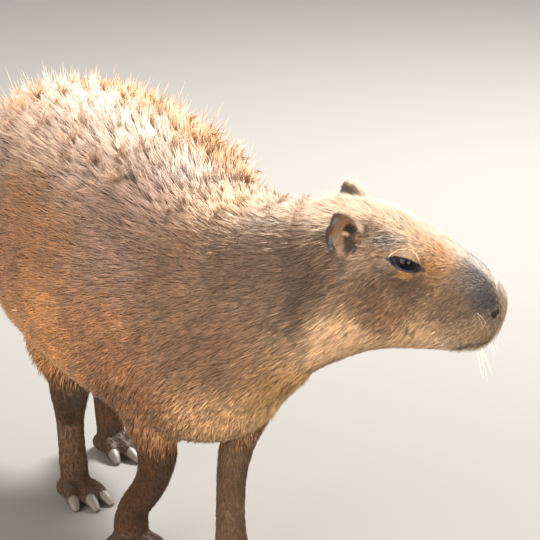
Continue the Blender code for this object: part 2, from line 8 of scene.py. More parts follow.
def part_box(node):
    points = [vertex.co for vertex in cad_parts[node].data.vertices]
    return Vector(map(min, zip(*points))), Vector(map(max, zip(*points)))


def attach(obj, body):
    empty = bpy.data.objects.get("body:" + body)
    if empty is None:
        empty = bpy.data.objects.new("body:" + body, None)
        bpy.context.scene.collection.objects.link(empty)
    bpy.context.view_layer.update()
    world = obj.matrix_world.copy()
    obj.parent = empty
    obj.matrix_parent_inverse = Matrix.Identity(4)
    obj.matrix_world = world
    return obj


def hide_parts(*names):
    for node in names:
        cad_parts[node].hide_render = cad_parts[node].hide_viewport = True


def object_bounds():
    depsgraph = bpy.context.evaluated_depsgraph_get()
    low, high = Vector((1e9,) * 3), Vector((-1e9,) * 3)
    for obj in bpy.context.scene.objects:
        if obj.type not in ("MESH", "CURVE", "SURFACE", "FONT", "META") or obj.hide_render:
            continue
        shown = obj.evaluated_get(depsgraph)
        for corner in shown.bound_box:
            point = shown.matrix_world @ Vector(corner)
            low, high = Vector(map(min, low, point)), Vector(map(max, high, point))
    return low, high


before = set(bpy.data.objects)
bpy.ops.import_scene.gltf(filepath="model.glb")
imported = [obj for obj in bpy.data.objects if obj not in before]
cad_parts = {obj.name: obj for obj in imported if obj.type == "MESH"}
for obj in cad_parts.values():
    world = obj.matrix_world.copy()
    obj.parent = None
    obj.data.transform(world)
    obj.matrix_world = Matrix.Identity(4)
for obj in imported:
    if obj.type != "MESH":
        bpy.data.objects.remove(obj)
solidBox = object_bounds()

# Everything is measured along the animal: X ahead, Y to its left, Z up from the floor.
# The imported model's right eye says where that lies in the frame.
eyeSeen = Vector((0.5126, 0.1218, 0.4965))
low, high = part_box("eye_right")
rowShift = (low + high) / 2 - eyeSeen
rowShift.z = 0

headFrame = {"turn": 56.0, "origin": (0.430, 0.078, 0.0)}
headPlace = Matrix.Translation(headFrame["origin"]) @ Matrix.Rotation(math.radians(headFrame["turn"]), 4, "Z")
headTurn = np.array(headPlace.to_3x3())
headOrigin = np.array(headPlace.translation)

# Trunk: x, y, heading, top, bottom, half width, height of the widest level, squareness
trunkStations = {
    "rumpTip": (-0.436, 0.000, 0, 0.410, 0.345, 0.026, 0.50, 2.0),
    "rumpEnd": (-0.424, 0.000, 0, 0.446, 0.304, 0.070, 0.54, 2.1),
    "rump": (-0.390, 0.000, 0, 0.487, 0.272, 0.106, 0.56, 2.1),
    "croup": (-0.332, 0.000, 0, 0.523, 0.248, 0.133, 0.56, 2.1),
    "hips": (-0.255, 0.000, 0, 0.546, 0.222, 0.151, 0.53, 2.1),
    "loin": (-0.150, 0.000, 0, 0.557, 0.200, 0.161, 0.45, 2.2),
    "belly": (-0.030, 0.000, 0, 0.558, 0.193, 0.167, 0.44, 2.2),
    "ribs": (0.080, 0.000, 0, 0.550, 0.190, 0.162, 0.45, 2.2),
    "shoulders": (0.170, 0.000, 2, 0.537, 0.188, 0.146, 0.46, 2.2),
    "chest": (0.240, 0.002, 6, 0.528, 0.196, 0.127, 0.48, 2.2),
    "brisket": (0.298, 0.010, 15, 0.531, 0.226, 0.110, 0.50, 2.2),
    "neckBase": (0.345, 0.026, 28, 0.534, 0.270, 0.097, 0.50, 2.2),
    "neck": (0.384, 0.048, 42, 0.543, 0.312, 0.087, 0.48, 2.2),
}
# Head: distance ahead of the ears, top, bottom, half width, widest level, squareness
headStations = {
    "occiput": (-0.028, 0.551, 0.340, 0.080, 0.42, 2.2),
    "ears": (0.003, 0.553, 0.357, 0.077, 0.38, 2.3),
    "jaw": (0.032, 0.550, 0.370, 0.073, 0.36, 2.4),
    "brow": (0.062, 0.543, 0.376, 0.066, 0.37, 2.4),
    "eyes": (0.090, 0.529, 0.376, 0.057, 0.40, 2.5),
    "bridge": (0.120, 0.511, 0.376, 0.050, 0.45, 2.7),
    "muzzle": (0.150, 0.491, 0.376, 0.047, 0.50, 2.9),
    "lips": (0.170, 0.475, 0.381, 0.045, 0.52, 2.9),
    "nostrils": (0.184, 0.459, 0.394, 0.039, 0.55, 2.6),
    "nose": (0.1915, 0.448, 0.407, 0.029, 0.55, 2.3),
    "noseTip": (0.1965, 0.436, 0.421, 0.012, 0.50, 2.0),
}
# Centre, radii, turn, tilt
muscles = {
    "haunchRight": ((-0.175, -0.076, 0.320), (0.108, 0.066, 0.100), 0, -20),
    "haunchLeft": ((-0.205, 0.078, 0.315), (0.110, 0.066, 0.104), 0, -16),
    "shoulderRight": ((0.190, -0.070, 0.345), (0.092, 0.068, 0.130), 0, 12),
    "shoulderLeft": ((0.215, 0.068, 0.345), (0.088, 0.064, 0.130), 0, 8),
}
# The same in the head's own frame, on its left and mirrored to its right
cheeks = {
    "cheek": ((0.030, 0.041, 0.432), (0.070, 0.034, 0.044), 0, 8),
    "browRidge": ((0.086, 0.032, 0.505), (0.040, 0.020, 0.018), -8, 20),
    "underEye": ((0.094, 0.032, 0.480), (0.042, 0.020, 0.018), -8, 16),
    "nosePad": ((0.170, 0.022, 0.438), (0.019, 0.016, 0.019), -20, 24),
    "earBase": ((-0.004, 0.040, 0.510), (0.020, 0.017, 0.020), 0, 0),
    "lids": ((0.0825, 0.0440, 0.4965), (0.0169, 0.0169, 0.0169), 0, 0),
}
# Legs from the body down: x, y, z, half length fore and aft, half width
legs = {
    "hindlegRight": (
        (-0.190, -0.072, 0.330, 0.084, 0.052), (-0.132, -0.074, 0.242, 0.062, 0.044),
        (-0.108, -0.068, 0.192, 0.043, 0.033), (-0.132, -0.058, 0.150, 0.032, 0.027),
        (-0.160, -0.047, 0.108, 0.025, 0.021), (-0.150, -0.049, 0.070, 0.021, 0.020),
        (-0.138, -0.051, 0.040, 0.020, 0.021),
    ),
    "hindlegLeft": (
        (-0.245, 0.085, 0.330, 0.100, 0.056), (-0.205, 0.090, 0.240, 0.076, 0.048),
        (-0.190, 0.080, 0.192, 0.046, 0.035), (-0.240, 0.070, 0.150, 0.032, 0.027),
        (-0.296, 0.062, 0.114, 0.025, 0.021), (-0.292, 0.061, 0.072, 0.021, 0.020),
        (-0.284, 0.062, 0.040, 0.020, 0.021),
    ),
    "forelegRight": (
        (0.195, -0.085, 0.320, 0.074, 0.044), (0.194, -0.078, 0.245, 0.052, 0.038),
        (0.190, -0.065, 0.195, 0.036, 0.031), (0.170, -0.056, 0.152, 0.028, 0.025),
        (0.136, -0.053, 0.108, 0.024, 0.021), (0.098, -0.058, 0.066, 0.021, 0.022),
        (0.086, -0.058, 0.036, 0.020, 0.025),
    ),
    "forelegLeft": (
        (0.215, 0.078, 0.320, 0.070, 0.042), (0.212, 0.064, 0.245, 0.046, 0.035),
        (0.212, 0.044, 0.195, 0.030, 0.027), (0.214, 0.032, 0.150, 0.024, 0.022),
        (0.216, 0.028, 0.108, 0.021, 0.020), (0.218, 0.027, 0.066, 0.020, 0.021),
        (0.222, 0.027, 0.036, 0.020, 0.024),
    ),
}
# Ball of the foot, heading, spread between toes, toe lengths from right to left
feet = {
    "hindlegRight": ((-0.132, -0.051), 2, 13, (0.050, 0.060, 0.052)),
    "hindlegLeft": ((-0.278, 0.062), 10, 15, (0.050, 0.060, 0.052)),
    "forelegRight": ((0.088, -0.058), 2, 14, (0.036, 0.046, 0.046, 0.036)),
    "forelegLeft": ((0.226, 0.027), 8, 14, (0.036, 0.046, 0.046, 0.036)),
}
footForm = {
    "toePitch": 0.0125, "toeRoot": (0.002, 0.019), "pad": (0.030, 0.0095, 0.016), "heel": (0.012, 0.016, 0.020),
    # share of the toe's length, drop, half height, half width
    "toe": ((-0.10, 0.000, 0.0105, 0.0105), (0.25, 0.001, 0.0100, 0.0098), (0.50, 0.003, 0.0108, 0.0112),
            (0.74, 0.008, 0.0098, 0.0106), (0.98, 0.0125, 0.0062, 0.0076)),
    "claw": ((0.70, 0.0052, 0.0062, 0.0066), (0.84, 0.0085, 0.0074, 0.0082), (1.00, 0.0112, 0.0062, 0.0072),
             (1.12, 0.0140, 0.0044, 0.0058), (1.22, 0.0160, 0.0022, 0.0038)),
    "web": (0.30, 0.0125, 0.0055),
}
skinForm = {"voxel": 0.003, "ringPoints": 36, "steps": 4, "trunkSmoothing": 26,
            "cheekSmoothing": 24, "smoothing": 5, "trunkShare": 0.34, "floor": 0.0004}


def onSide(point, side):
    return Vector((point[0], side * point[1], point[2]))


def toHead(points):
    return (points - headOrigin) @ headTurn


def fromHead(points):
    return points @ headTurn.T + headOrigin


def ease(value, start, end):
    t = np.clip((value - start) / (end - start), 0, 1)
    return t * t * (3 - 2 * t)


def smoothRows(rows, steps):
    rows = np.array(rows, float)
    padded = np.vstack([2 * rows[0] - rows[1], rows, 2 * rows[-1] - rows[-2]])
    made = []
    for before, start, end, after in zip(padded, padded[1:], padded[2:], padded[3:]):
        for t in np.arange(steps) / steps:
            flat = 2 * start + (end - before) * t
            bent = (2 * before - 5 * start + 4 * end - after) * t**2
            made.append(0.5 * (flat + bent + (3 * start - before - 3 * end + after) * t**3))
    return made + [rows[-1]]


def ovalPoints(halfWidth, top, bottom, wide, power):
    level = bottom + wide * (top - bottom)
    for i in range(skinForm["ringPoints"]):
        angle = 2 * math.pi * i / skinForm["ringPoints"]
        c, s = math.cos(angle), math.sin(angle)
        reach = top - level if s > 0 else level - bottom
        yield (halfWidth * math.copysign(abs(c) ** (2 / power), c),
               level + reach * math.copysign(abs(s) ** (2 / power), s))


def loft(bm, rings):
    loops = []
    for ring in rings:
        verts = bmesh.ops.create_circle(bm, segments=len(ring), radius=1)["verts"]
        for vert, spot in zip(verts, ring):
            vert.co = spot
        loops.append((verts, list(dict.fromkeys(edge for vert in verts for edge in vert.link_edges))))
    for near, far in zip(loops, loops[1:]):
        bmesh.ops.bridge_loops(bm, edges=near[1] + far[1])
    for verts, edges in (loops[0], loops[-1]):
        bmesh.ops.contextual_create(bm, geom=edges)


def limb(bm, stations, points=16, place=Matrix()):
    rows = smoothRows(stations, skinForm["steps"])
    rings = []
    for i, (x, y, z, fore, wide) in enumerate(rows):
        along = Vector(rows[min(i + 1, len(rows) - 1)][:3] - rows[max(i - 1, 0)][:3]).normalized()
        across = (Vector((0, 1, 0)) - along * along.y).normalized()
        front = across.cross(along)
        turns = [2 * math.pi * k / points for k in range(points)]
        rings.append([place @ (Vector((x, y, z)) + front * fore * math.cos(t) + across * wide * math.sin(t))
                      for t in turns])
    loft(bm, rings)


def turned(centre, turn, tilt):
    spin = Matrix.Rotation(math.radians(turn), 4, "Z") @ Matrix.Rotation(math.radians(tilt), 4, "Y")
    return Matrix.Translation(centre) @ spin


def oval(bm, place, radii, rings=12):
    bmesh.ops.create_uvsphere(bm, u_segments=2 * rings, v_segments=rings, radius=1,
                              matrix=place @ Matrix.Diagonal((*radii, 1)))


def newPiece(name, bm):
    bmesh.ops.recalc_face_normals(bm, faces=bm.faces)
    mesh = bpy.data.meshes.new(name)
    bm.to_mesh(mesh)
    bm.free()
    piece = bpy.data.objects.new(name, mesh)
    bpy.context.scene.collection.objects.link(piece)
    return piece


def settle(piece):
    graph = bpy.context.evaluated_depsgraph_get()
    mesh = bpy.data.meshes.new_from_object(piece.evaluated_get(graph))
    piece.modifiers.clear()
    old, piece.data = piece.data, mesh
    bpy.data.meshes.remove(old)


def vertArray(mesh, field="co"):
    made = np.zeros(len(mesh.vertices) * 3)
    mesh.vertices.foreach_get(field, made)
    return made.reshape(-1, 3)


def toePlaces(leg):
    spot, heading, spread, lengths = feet[leg]
    foot = turned((*spot, 0), heading, 0)
    for i, length in enumerate(lengths):
        aside = i - (len(lengths) - 1) / 2
        root = (footForm["toeRoot"][0], aside * footForm["toePitch"], footForm["toeRoot"][1])
        yield foot @ turned(root, aside * spread, 0), length


def addFoot(bm, leg):
    spot, heading, spread, lengths = feet[leg]
    foot = turned((*spot, 0), heading, 0)
    long, wide, tall = footForm["pad"]
    oval(bm, foot @ Matrix.Translation((0, 0, tall * 0.8)), (long, wide * len(lengths), tall))
    share, webWide, webTall = footForm["web"]
    for place, length in toePlaces(leg):
        limb(bm, [(s * length, 0, -drop, tall, wide) for s, drop, tall, wide in footForm["toe"]], place=place)
        middle = place @ Matrix.Translation((share * length, 0, -footForm["toeRoot"][1] / 2))
        oval(bm, middle, (share * length, webWide, webTall), 8)


def weigh(piece, name, weights):
    group = piece.vertex_groups.new(name=name)
    for index, weight in enumerate(weights):
        if weight > 0:
            group.add([index], float(weight), "REPLACE")


def bodyForm():
    bm = bmesh.new()
    rings = []
    for x, y, heading, top, bottom, half, wide, power in smoothRows(list(trunkStations.values()), skinForm["steps"]):
        side = Vector((-math.sin(math.radians(heading)), math.cos(math.radians(heading)), 0))
        outline = ovalPoints(half, top, bottom, wide, power)
        rings.append([Vector((x, y, z)) + side * across for across, z in outline])
    for ahead, top, bottom, half, wide, power in smoothRows(list(headStations.values()), skinForm["steps"]):
        outline = ovalPoints(half, top, bottom, wide, power)
        rings.append([headPlace @ Vector((ahead, across, z)) for across, z in outline])
    loft(bm, rings)
    for centre, radii, turn, tilt in muscles.values():
        oval(bm, turned(centre, turn, tilt), radii, 16)
    for centre, radii, turn, tilt in cheeks.values():
        for side in (-1, 1):
            oval(bm, headPlace @ turned(onSide(centre, side), side * turn, tilt), radii, 16)
    for leg, stations in legs.items():
        spot = feet[leg][0]
        limb(bm, stations + ((*spot, *footForm["heel"]),), points=20)
        addFoot(bm, leg)
    return newPiece("skin", bm)


def onTrunk(points):
    # 1 on the trunk and neck, 0 on the head, legs and feet
    ahead = toHead(points)[:, 0]
    return ease(points[:, 2], 0.16, 0.24) * ease(ahead, -0.005, -0.06)


def onCheeks(points):
    local = toHead(points)
    side = np.abs(local[:, 1])
    low = ease(local[:, 2], 0.485, 0.46) * ease(local[:, 0], 0.165, 0.135) * ease(points[:, 2], 0.24, 0.30)
    return low * ease(side, 0.02, 0.035)


def fuseBody(skin):
    remesh = skin.modifiers.new("remesh", "REMESH")
    remesh.mode = "VOXEL"
    remesh.voxel_size = skinForm["voxel"]
    settle(skin)
    weigh(skin, "trunk", onTrunk(vertArray(skin.data)))
    weigh(skin, "cheeks", onCheeks(vertArray(skin.data)))
    for group, times in (("trunk", skinForm["trunkSmoothing"]), ("cheeks", skinForm["cheekSmoothing"]),
                         ("", skinForm["smoothing"])):
        smooth = skin.modifiers.new("smooth", "SMOOTH")
        smooth.factor = 0.5
        smooth.iterations = times
        smooth.vertex_group = group
    fewer = skin.modifiers.new("fewer", "DECIMATE")
    fewer.ratio = skinForm["trunkShare"]
    fewer.vertex_group = "trunk"
    fewer.vertex_group_factor = 1.0
    settle(skin)
    skin.vertex_groups.clear()


# Ears, in the head's frame: the right one stands a little further forward
earForm = {"centre": (0.007, 0.062, 0.530), "radii": (0.0196, 0.0100, 0.0266), "turn": 28, "lean": -16,
           "swept": {-1: 0.0, 1: 0.007}, "wall": 0.0030, "flare": 0.0045, "canal": 0.0042,
           # angle up from ahead, spread, and how much further out the rim lies there
           "lobes": ((122, 16, 0.22), (170, 18, 0.07), (276, 22, 0.20), (0, 16, 0.13), (60, 20, -0.06),
                     (315, 14, -0.08), (148, 9, -0.06)),
           "hollows": ((0.60, 0.02), (0.42, -0.60))}


def earPlace(side):
    centre = onSide(earForm["centre"], side)
    centre.x -= earForm["swept"][side]
    turn = Matrix.Rotation(math.radians(-side * earForm["turn"]), 4, "Z")
    return headPlace @ Matrix.Translation(centre) @ turn @ Matrix.Rotation(math.radians(side * earForm["lean"]), 4, "X")


def earRim(up, ahead):
    # how far the uneven rim lies from the ear's middle, in shares of its radii
    angle = np.degrees(np.arctan2(up, ahead))
    reach = 1.0
    for middle, spread, more in earForm["lobes"]:
        away = (angle - middle + 180) % 360 - 180
        reach = reach + more * np.exp(-((away / spread) ** 2))
    return reach


def inEar(points, side):
    # ahead, outward and up in shares of the way to the ear's rim
    turn = np.array(earPlace(side).to_3x3())
    local = (points - np.array(earPlace(side).translation)) @ turn
    local[:, 1] *= side
    local = local / np.array(earForm["radii"])
    local[:, ::2] /= earRim(local[:, 2], local[:, 0])[:, None]
    return local


def makeEar(side):
    bm = bmesh.new()
    bmesh.ops.create_uvsphere(bm, u_segments=56, v_segments=40, radius=1)
    rx, ry, rz = earForm["radii"]
    for vert in bm.verts:
        x, y, z = vert.co
        r = min(1.0, math.hypot(x, z))
        shell = -ry * math.sqrt(max(0.0, 1 - r * r)) + earForm["flare"] * r**3
        if y > 0:
            root = math.exp(-((x - 0.1) ** 2 + (z + 0.75) ** 2) / 0.18)
            shell += (earForm["wall"] + 0.005 * root) * (1 - r**6)
            shell += 0.0009 * math.exp(-(((r - 0.88) / 0.07) ** 2))  # rolled rim
            shell += 0.0014 * math.exp(-(((x + 0.18 - 0.3 * z) / 0.12) ** 2)) * (1 - r**2)  # ridge in the cup
            for ahead, up in earForm["hollows"]:
                shell -= earForm["canal"] * math.exp(-((x - ahead) ** 2 + (z - up) ** 2) / 0.06)
        spread = 1 + (float(earRim(z, x)) - 1) * r * r
        vert.co = (rx * x * spread, side * shell, rz * z * spread)
    bmesh.ops.transform(bm, matrix=earPlace(side), verts=bm.verts)
    return newPiece("earLeft" if side > 0 else "earRight", bm)


def joinEars(skin):
    for side in (-1, 1):
        ear = makeEar(side)
        union = skin.modifiers.new("ear", "BOOLEAN")
        union.operation = "UNION"
        union.solver = "MANIFOLD"
        union.object = ear
        settle(skin)
        bpy.data.objects.remove(ear)


# Eyes, in the head's frame: the lids' opening slopes down towards the nose
eyeForm = {"centre": (0.0805, 0.0430, 0.4934), "radius": 0.0150, "turn": 8, "slope": 20,
           "half": 0.0205, "level": -0.0014, "above": 0.0063, "below": 0.0056,
           "crease": 0.0165, "creaseHalf": 0.0205, "creaseMiddle": -0.0020}
faceForm = {"nostril": (0.1852, 0.0366, 0.4305), "nostrilDepth": 0.0105, "nostrilWide": 0.0029,
            "mouthMiddle": 0.142, "mouth": (0.384, 0.397), "mouthDepth": 0.0024}


def inEye(points, side):
    # along the opening towards the nose, across it upwards, and out of the head
    turn, slope = math.radians(eyeForm["turn"]), math.radians(eyeForm["slope"])
    out = np.array((math.sin(turn), side * math.cos(turn), 0))
    ahead = np.array((math.cos(turn), -side * math.sin(turn), 0))
    along = ahead * math.cos(slope) - np.array((0, 0, math.sin(slope)))
    up = ahead * math.sin(slope) + np.array((0, 0, math.cos(slope)))
    local = toHead(points) - np.array(onSide(eyeForm["centre"], side))
    return local @ along, local @ up, local @ out


def lidEdges(along):
    share = np.clip(1 - (along / eyeForm["half"]) ** 2, 0, 1)
    upper = eyeForm["level"] + eyeForm["above"] * share**1.25
    lower = eyeForm["level"] - eyeForm["below"] * share**1.05
    away = (along - eyeForm["creaseMiddle"]) / eyeForm["creaseHalf"]
    return upper, lower, eyeForm["crease"] * np.clip(1 - away**2, -1, 1)


def insideLids(points, side):
    # metres inside the lids' opening, less than 0 outside it
    along, up, out = inEye(points, side)
    upper, lower, crease = lidEdges(along)
    gap = np.minimum(upper - up, up - lower)
    gap = np.minimum(gap, eyeForm["half"] - np.abs(along))
    return np.where((out > 0) & (np.abs(along) < 0.03), gap, -1.0)


def onUpperLid(points, side):
    along, up, out = inEye(points, side)
    crease = lidEdges(along)[2]
    return (out > 0) & (np.abs(along) < eyeForm["creaseHalf"]) & (up > -0.002) & (up < crease + 0.0004)


def lidStreak(points, side):
    # how far a point lies from the dark streak that draws out each corner of the eye
    along, up, out = inEye(points, side)
    away = np.hypot((np.abs(along) - eyeForm["half"]) * 0.32, up - eyeForm["level"] + 0.0004)
    return np.where(out > 0, away, 1.0)


def creaseShare(points, side):
    # 1 on the fine pale fold over the upper lid
    along, up, out = inEye(points, side)
    crease = lidEdges(along)[2]
    share = np.exp(-(((up - crease - 0.0004) / 0.0007) ** 2)) * ease(along, -0.0235, -0.0215) * ease(along, 0.0170, 0.0150)
    share *= 1 - 0.8 * np.exp(-(((along + 0.0015) / 0.0016) ** 2))
    return share * (out > 0) * (np.hypot(along, up) < 0.034)


def mouthLine(points):
    # height above the mouth's line, and how far that line has faded at its corners
    local = toHead(points)
    angle = np.arctan2(local[:, 1], local[:, 0] - faceForm["mouthMiddle"])
    corner, front = faceForm["mouth"]
    height = corner + (front - corner) * np.maximum(0, np.cos(angle)) ** 0.7
    fade = 1 - ease(np.abs(np.degrees(angle)), 88, 108)
    return local[:, 2] - height, fade * ease(local[:, 0], 0.11, 0.13)


def nostrilReach(points, side):
    local = toHead(points) - np.array(onSide(faceForm["nostril"], side))
    # the opening runs a little up and forward to a point
    way = np.array((0.62, -side * 0.62, 0.48))
    comma = np.clip((local @ way) / 0.006, 0, 1)
    return np.linalg.norm(local - comma[:, None] * way * 0.006, axis=1) + 0.0014 * comma


def refine(skin):
    bm = bmesh.new()
    bm.from_mesh(skin.data)
    bmesh.ops.remove_doubles(bm, verts=bm.verts, dist=0.00002)

    def pick(test):
        bm.verts.index_update()
        spots = np.array([vert.co for vert in bm.verts])
        chosen = test(spots)
        return [edge for edge in bm.edges if chosen[edge.verts[0].index] and chosen[edge.verts[1].index]]

    def nearEyes(spots, reach):
        both = [np.hypot(*inEye(spots, side)[:2]) for side in (-1, 1)]
        outs = [inEye(spots, side)[2] > -0.004 for side in (-1, 1)]
        return (both[0] < reach) & outs[0] | (both[1] < reach) & outs[1]

    def onSnout(spots):
        local = toHead(spots)
        line, fade = mouthLine(spots)
        nostril = np.minimum(nostrilReach(spots, -1), nostrilReach(spots, 1))
        return (local[:, 0] > 0.118) & (np.abs(line) < 0.010) | (nostril < 0.013)

    def smoothPicked(edges, times):
        verts = list(dict.fromkeys(vert for edge in edges for vert in edge.verts))
        for _ in range(times):
            bmesh.ops.smooth_vert(bm, verts=verts, factor=0.5, use_axis_x=True, use_axis_y=True, use_axis_z=True)

    for test, times in ((lambda s: nearEyes(s, 0.032), 3), (lambda s: nearEyes(s, 0.024), 2), (onSnout, 3),
                        (onSnout, 1)):
        edges = pick(test)
        bmesh.ops.subdivide_edges(bm, edges=edges, cuts=1, use_grid_fill=True)
        smoothPicked(edges, times)
    bmesh.ops.triangulate(bm, faces=[face for face in bm.faces if len(face.verts) > 4])
    bm.to_mesh(skin.data)
    bm.free()


def sculptFace(skin, depth):
    mesh = skin.data
    spots, normals = vertArray(mesh), vertArray(mesh, "normal")
    spots = spots - normals * depth(spots, normals)[:, None]
    for side in (-1, 1):
        along, up, out = inEye(spots, side)
        upper, lower, crease = lidEdges(along)
        near = (np.hypot(along, up) < 0.03) & (out > 0)
        gap = insideLids(spots, side)
        ball = np.sqrt(np.maximum(eyeForm["radius"] ** 2 - along**2 - up**2, 0))
        rim = np.sqrt(np.maximum((eyeForm["radius"] + 0.0014) ** 2 - along**2 - up**2, 0))
        lid = ease(gap, -0.0035, -0.0004) * ease(-np.abs(along), -0.0175, -0.0140)
        target = out + (np.minimum(out, rim) - out) * lid
        inner = np.maximum(ball - 0.0030, out - 0.0050)
        target += (inner - target) * ease(gap, -0.0003, 0.0007)
        fold = np.exp(-(((up - crease) / 0.0011) ** 2)) * ease(-np.abs(along), -0.0225, -0.0160)
        roll = np.exp(-(((up - crease - 0.0032) / 0.0022) ** 2)) * ease(-np.abs(along), -0.0215, -0.0120)
        bag = np.exp(-(((up + 0.0160 - 10 * along**2) / 0.0016) ** 2)) * ease(-np.abs(along), -0.0220, -0.0110)
        target += -0.0013 * fold + 0.0010 * roll - 0.0007 * bag
        turn = math.radians(eyeForm["turn"])
        way = fromHead(np.array(((math.sin(turn), side * math.cos(turn), 0),))) - headOrigin
        spots = spots + np.where(near, target - out, 0)[:, None] * way
        reach = nostrilReach(spots, side)
        pit = faceForm["nostrilDepth"] * np.exp(-((reach / faceForm["nostrilWide"]) ** 4))
        flare = 0.0011 * np.exp(-(((reach - 0.0062) / 0.0022) ** 2))
        spots = spots + normals * (flare - pit)[:, None]
    line, fade = mouthLine(spots)
    groove = faceForm["mouthDepth"] * np.exp(-((line / 0.0012) ** 2)) - 0.0004 * np.exp(-(((line + 0.005) / 0.004) ** 2))
    groove -= 0.0006 * np.exp(-(((line - 0.0050) / 0.0035) ** 2))
    local = toHead(spots)
    split = 0.0010 * np.exp(-((local[:, 1] / 0.0014) ** 2)) * ease(local[:, 0], 0.178, 0.186)
    split *= ease(local[:, 2], 0.398, 0.404) * (1 - ease(local[:, 2], 0.424, 0.432))
    spots = spots - normals * (groove * fade + split)[:, None]
    spots[:, 2] = np.maximum(spots[:, 2], skinForm["floor"])
    mesh.vertices.foreach_set("co", spots.ravel())
    mesh.update()


# Tones of the coat by name, in the numbers of a colour picker
tones = {
    # the tone that opens the next line is painted sunlight: hair lit along the back and on the ears' rims
    "cream": (210, 194, 180), "sand": (206, 176, 148), "dun": (182, 155, 136), "fawn": (154, 124, 105),
    "tawny": (175, 126, 88), "rust": (220, 157, 96), "umber": (140, 107, 82), "dusk": (113, 91, 76),
    # the second tone on the next line is painted light: the sun shining through backlit hair
    "peach": (222, 180, 144), "amber": (196, 146, 94), "ochre": (182, 132, 72), "slate": (66, 64, 69),
    "ash": (148, 122, 102), "straw": (248, 203, 150), "wheat": (194, 153, 103), "bark": (94, 60, 33),
    "shade": (115, 90, 68), "hoof": (74, 56, 44), "pinkCream": (244, 214, 190), "jaw": (228, 192, 152),
    "cheek": (125, 98, 76), "soot": (94, 76, 62), "muzzle": (122, 99, 78), "tan": (150, 112, 74),
    # the tone that opens the next line is painted sunlight on the crown and forehead
    "blonde": (246, 222, 196), "frost": (240, 228, 214), "lip": (164, 138, 110), "earSkin": (117, 92, 74), "earDark": (76, 56, 48),
    "earBlue": (108, 116, 132), "earOlive": (124, 98, 56), "lidLine": (230, 210, 176), "lidEdge": (28, 25, 28),
    # the third tone on the next line is painted shade, in the nostrils and in the ears' hollows
    # the tone that opens the next line is a painted sheen along the lower lid
    "lidSheen": (42, 42, 60), "lidCorner": (58, 40, 50), "nostril": (16, 14, 15), "whisker": (238, 230, 214),
    "lipEdge": (70, 58, 52),
}
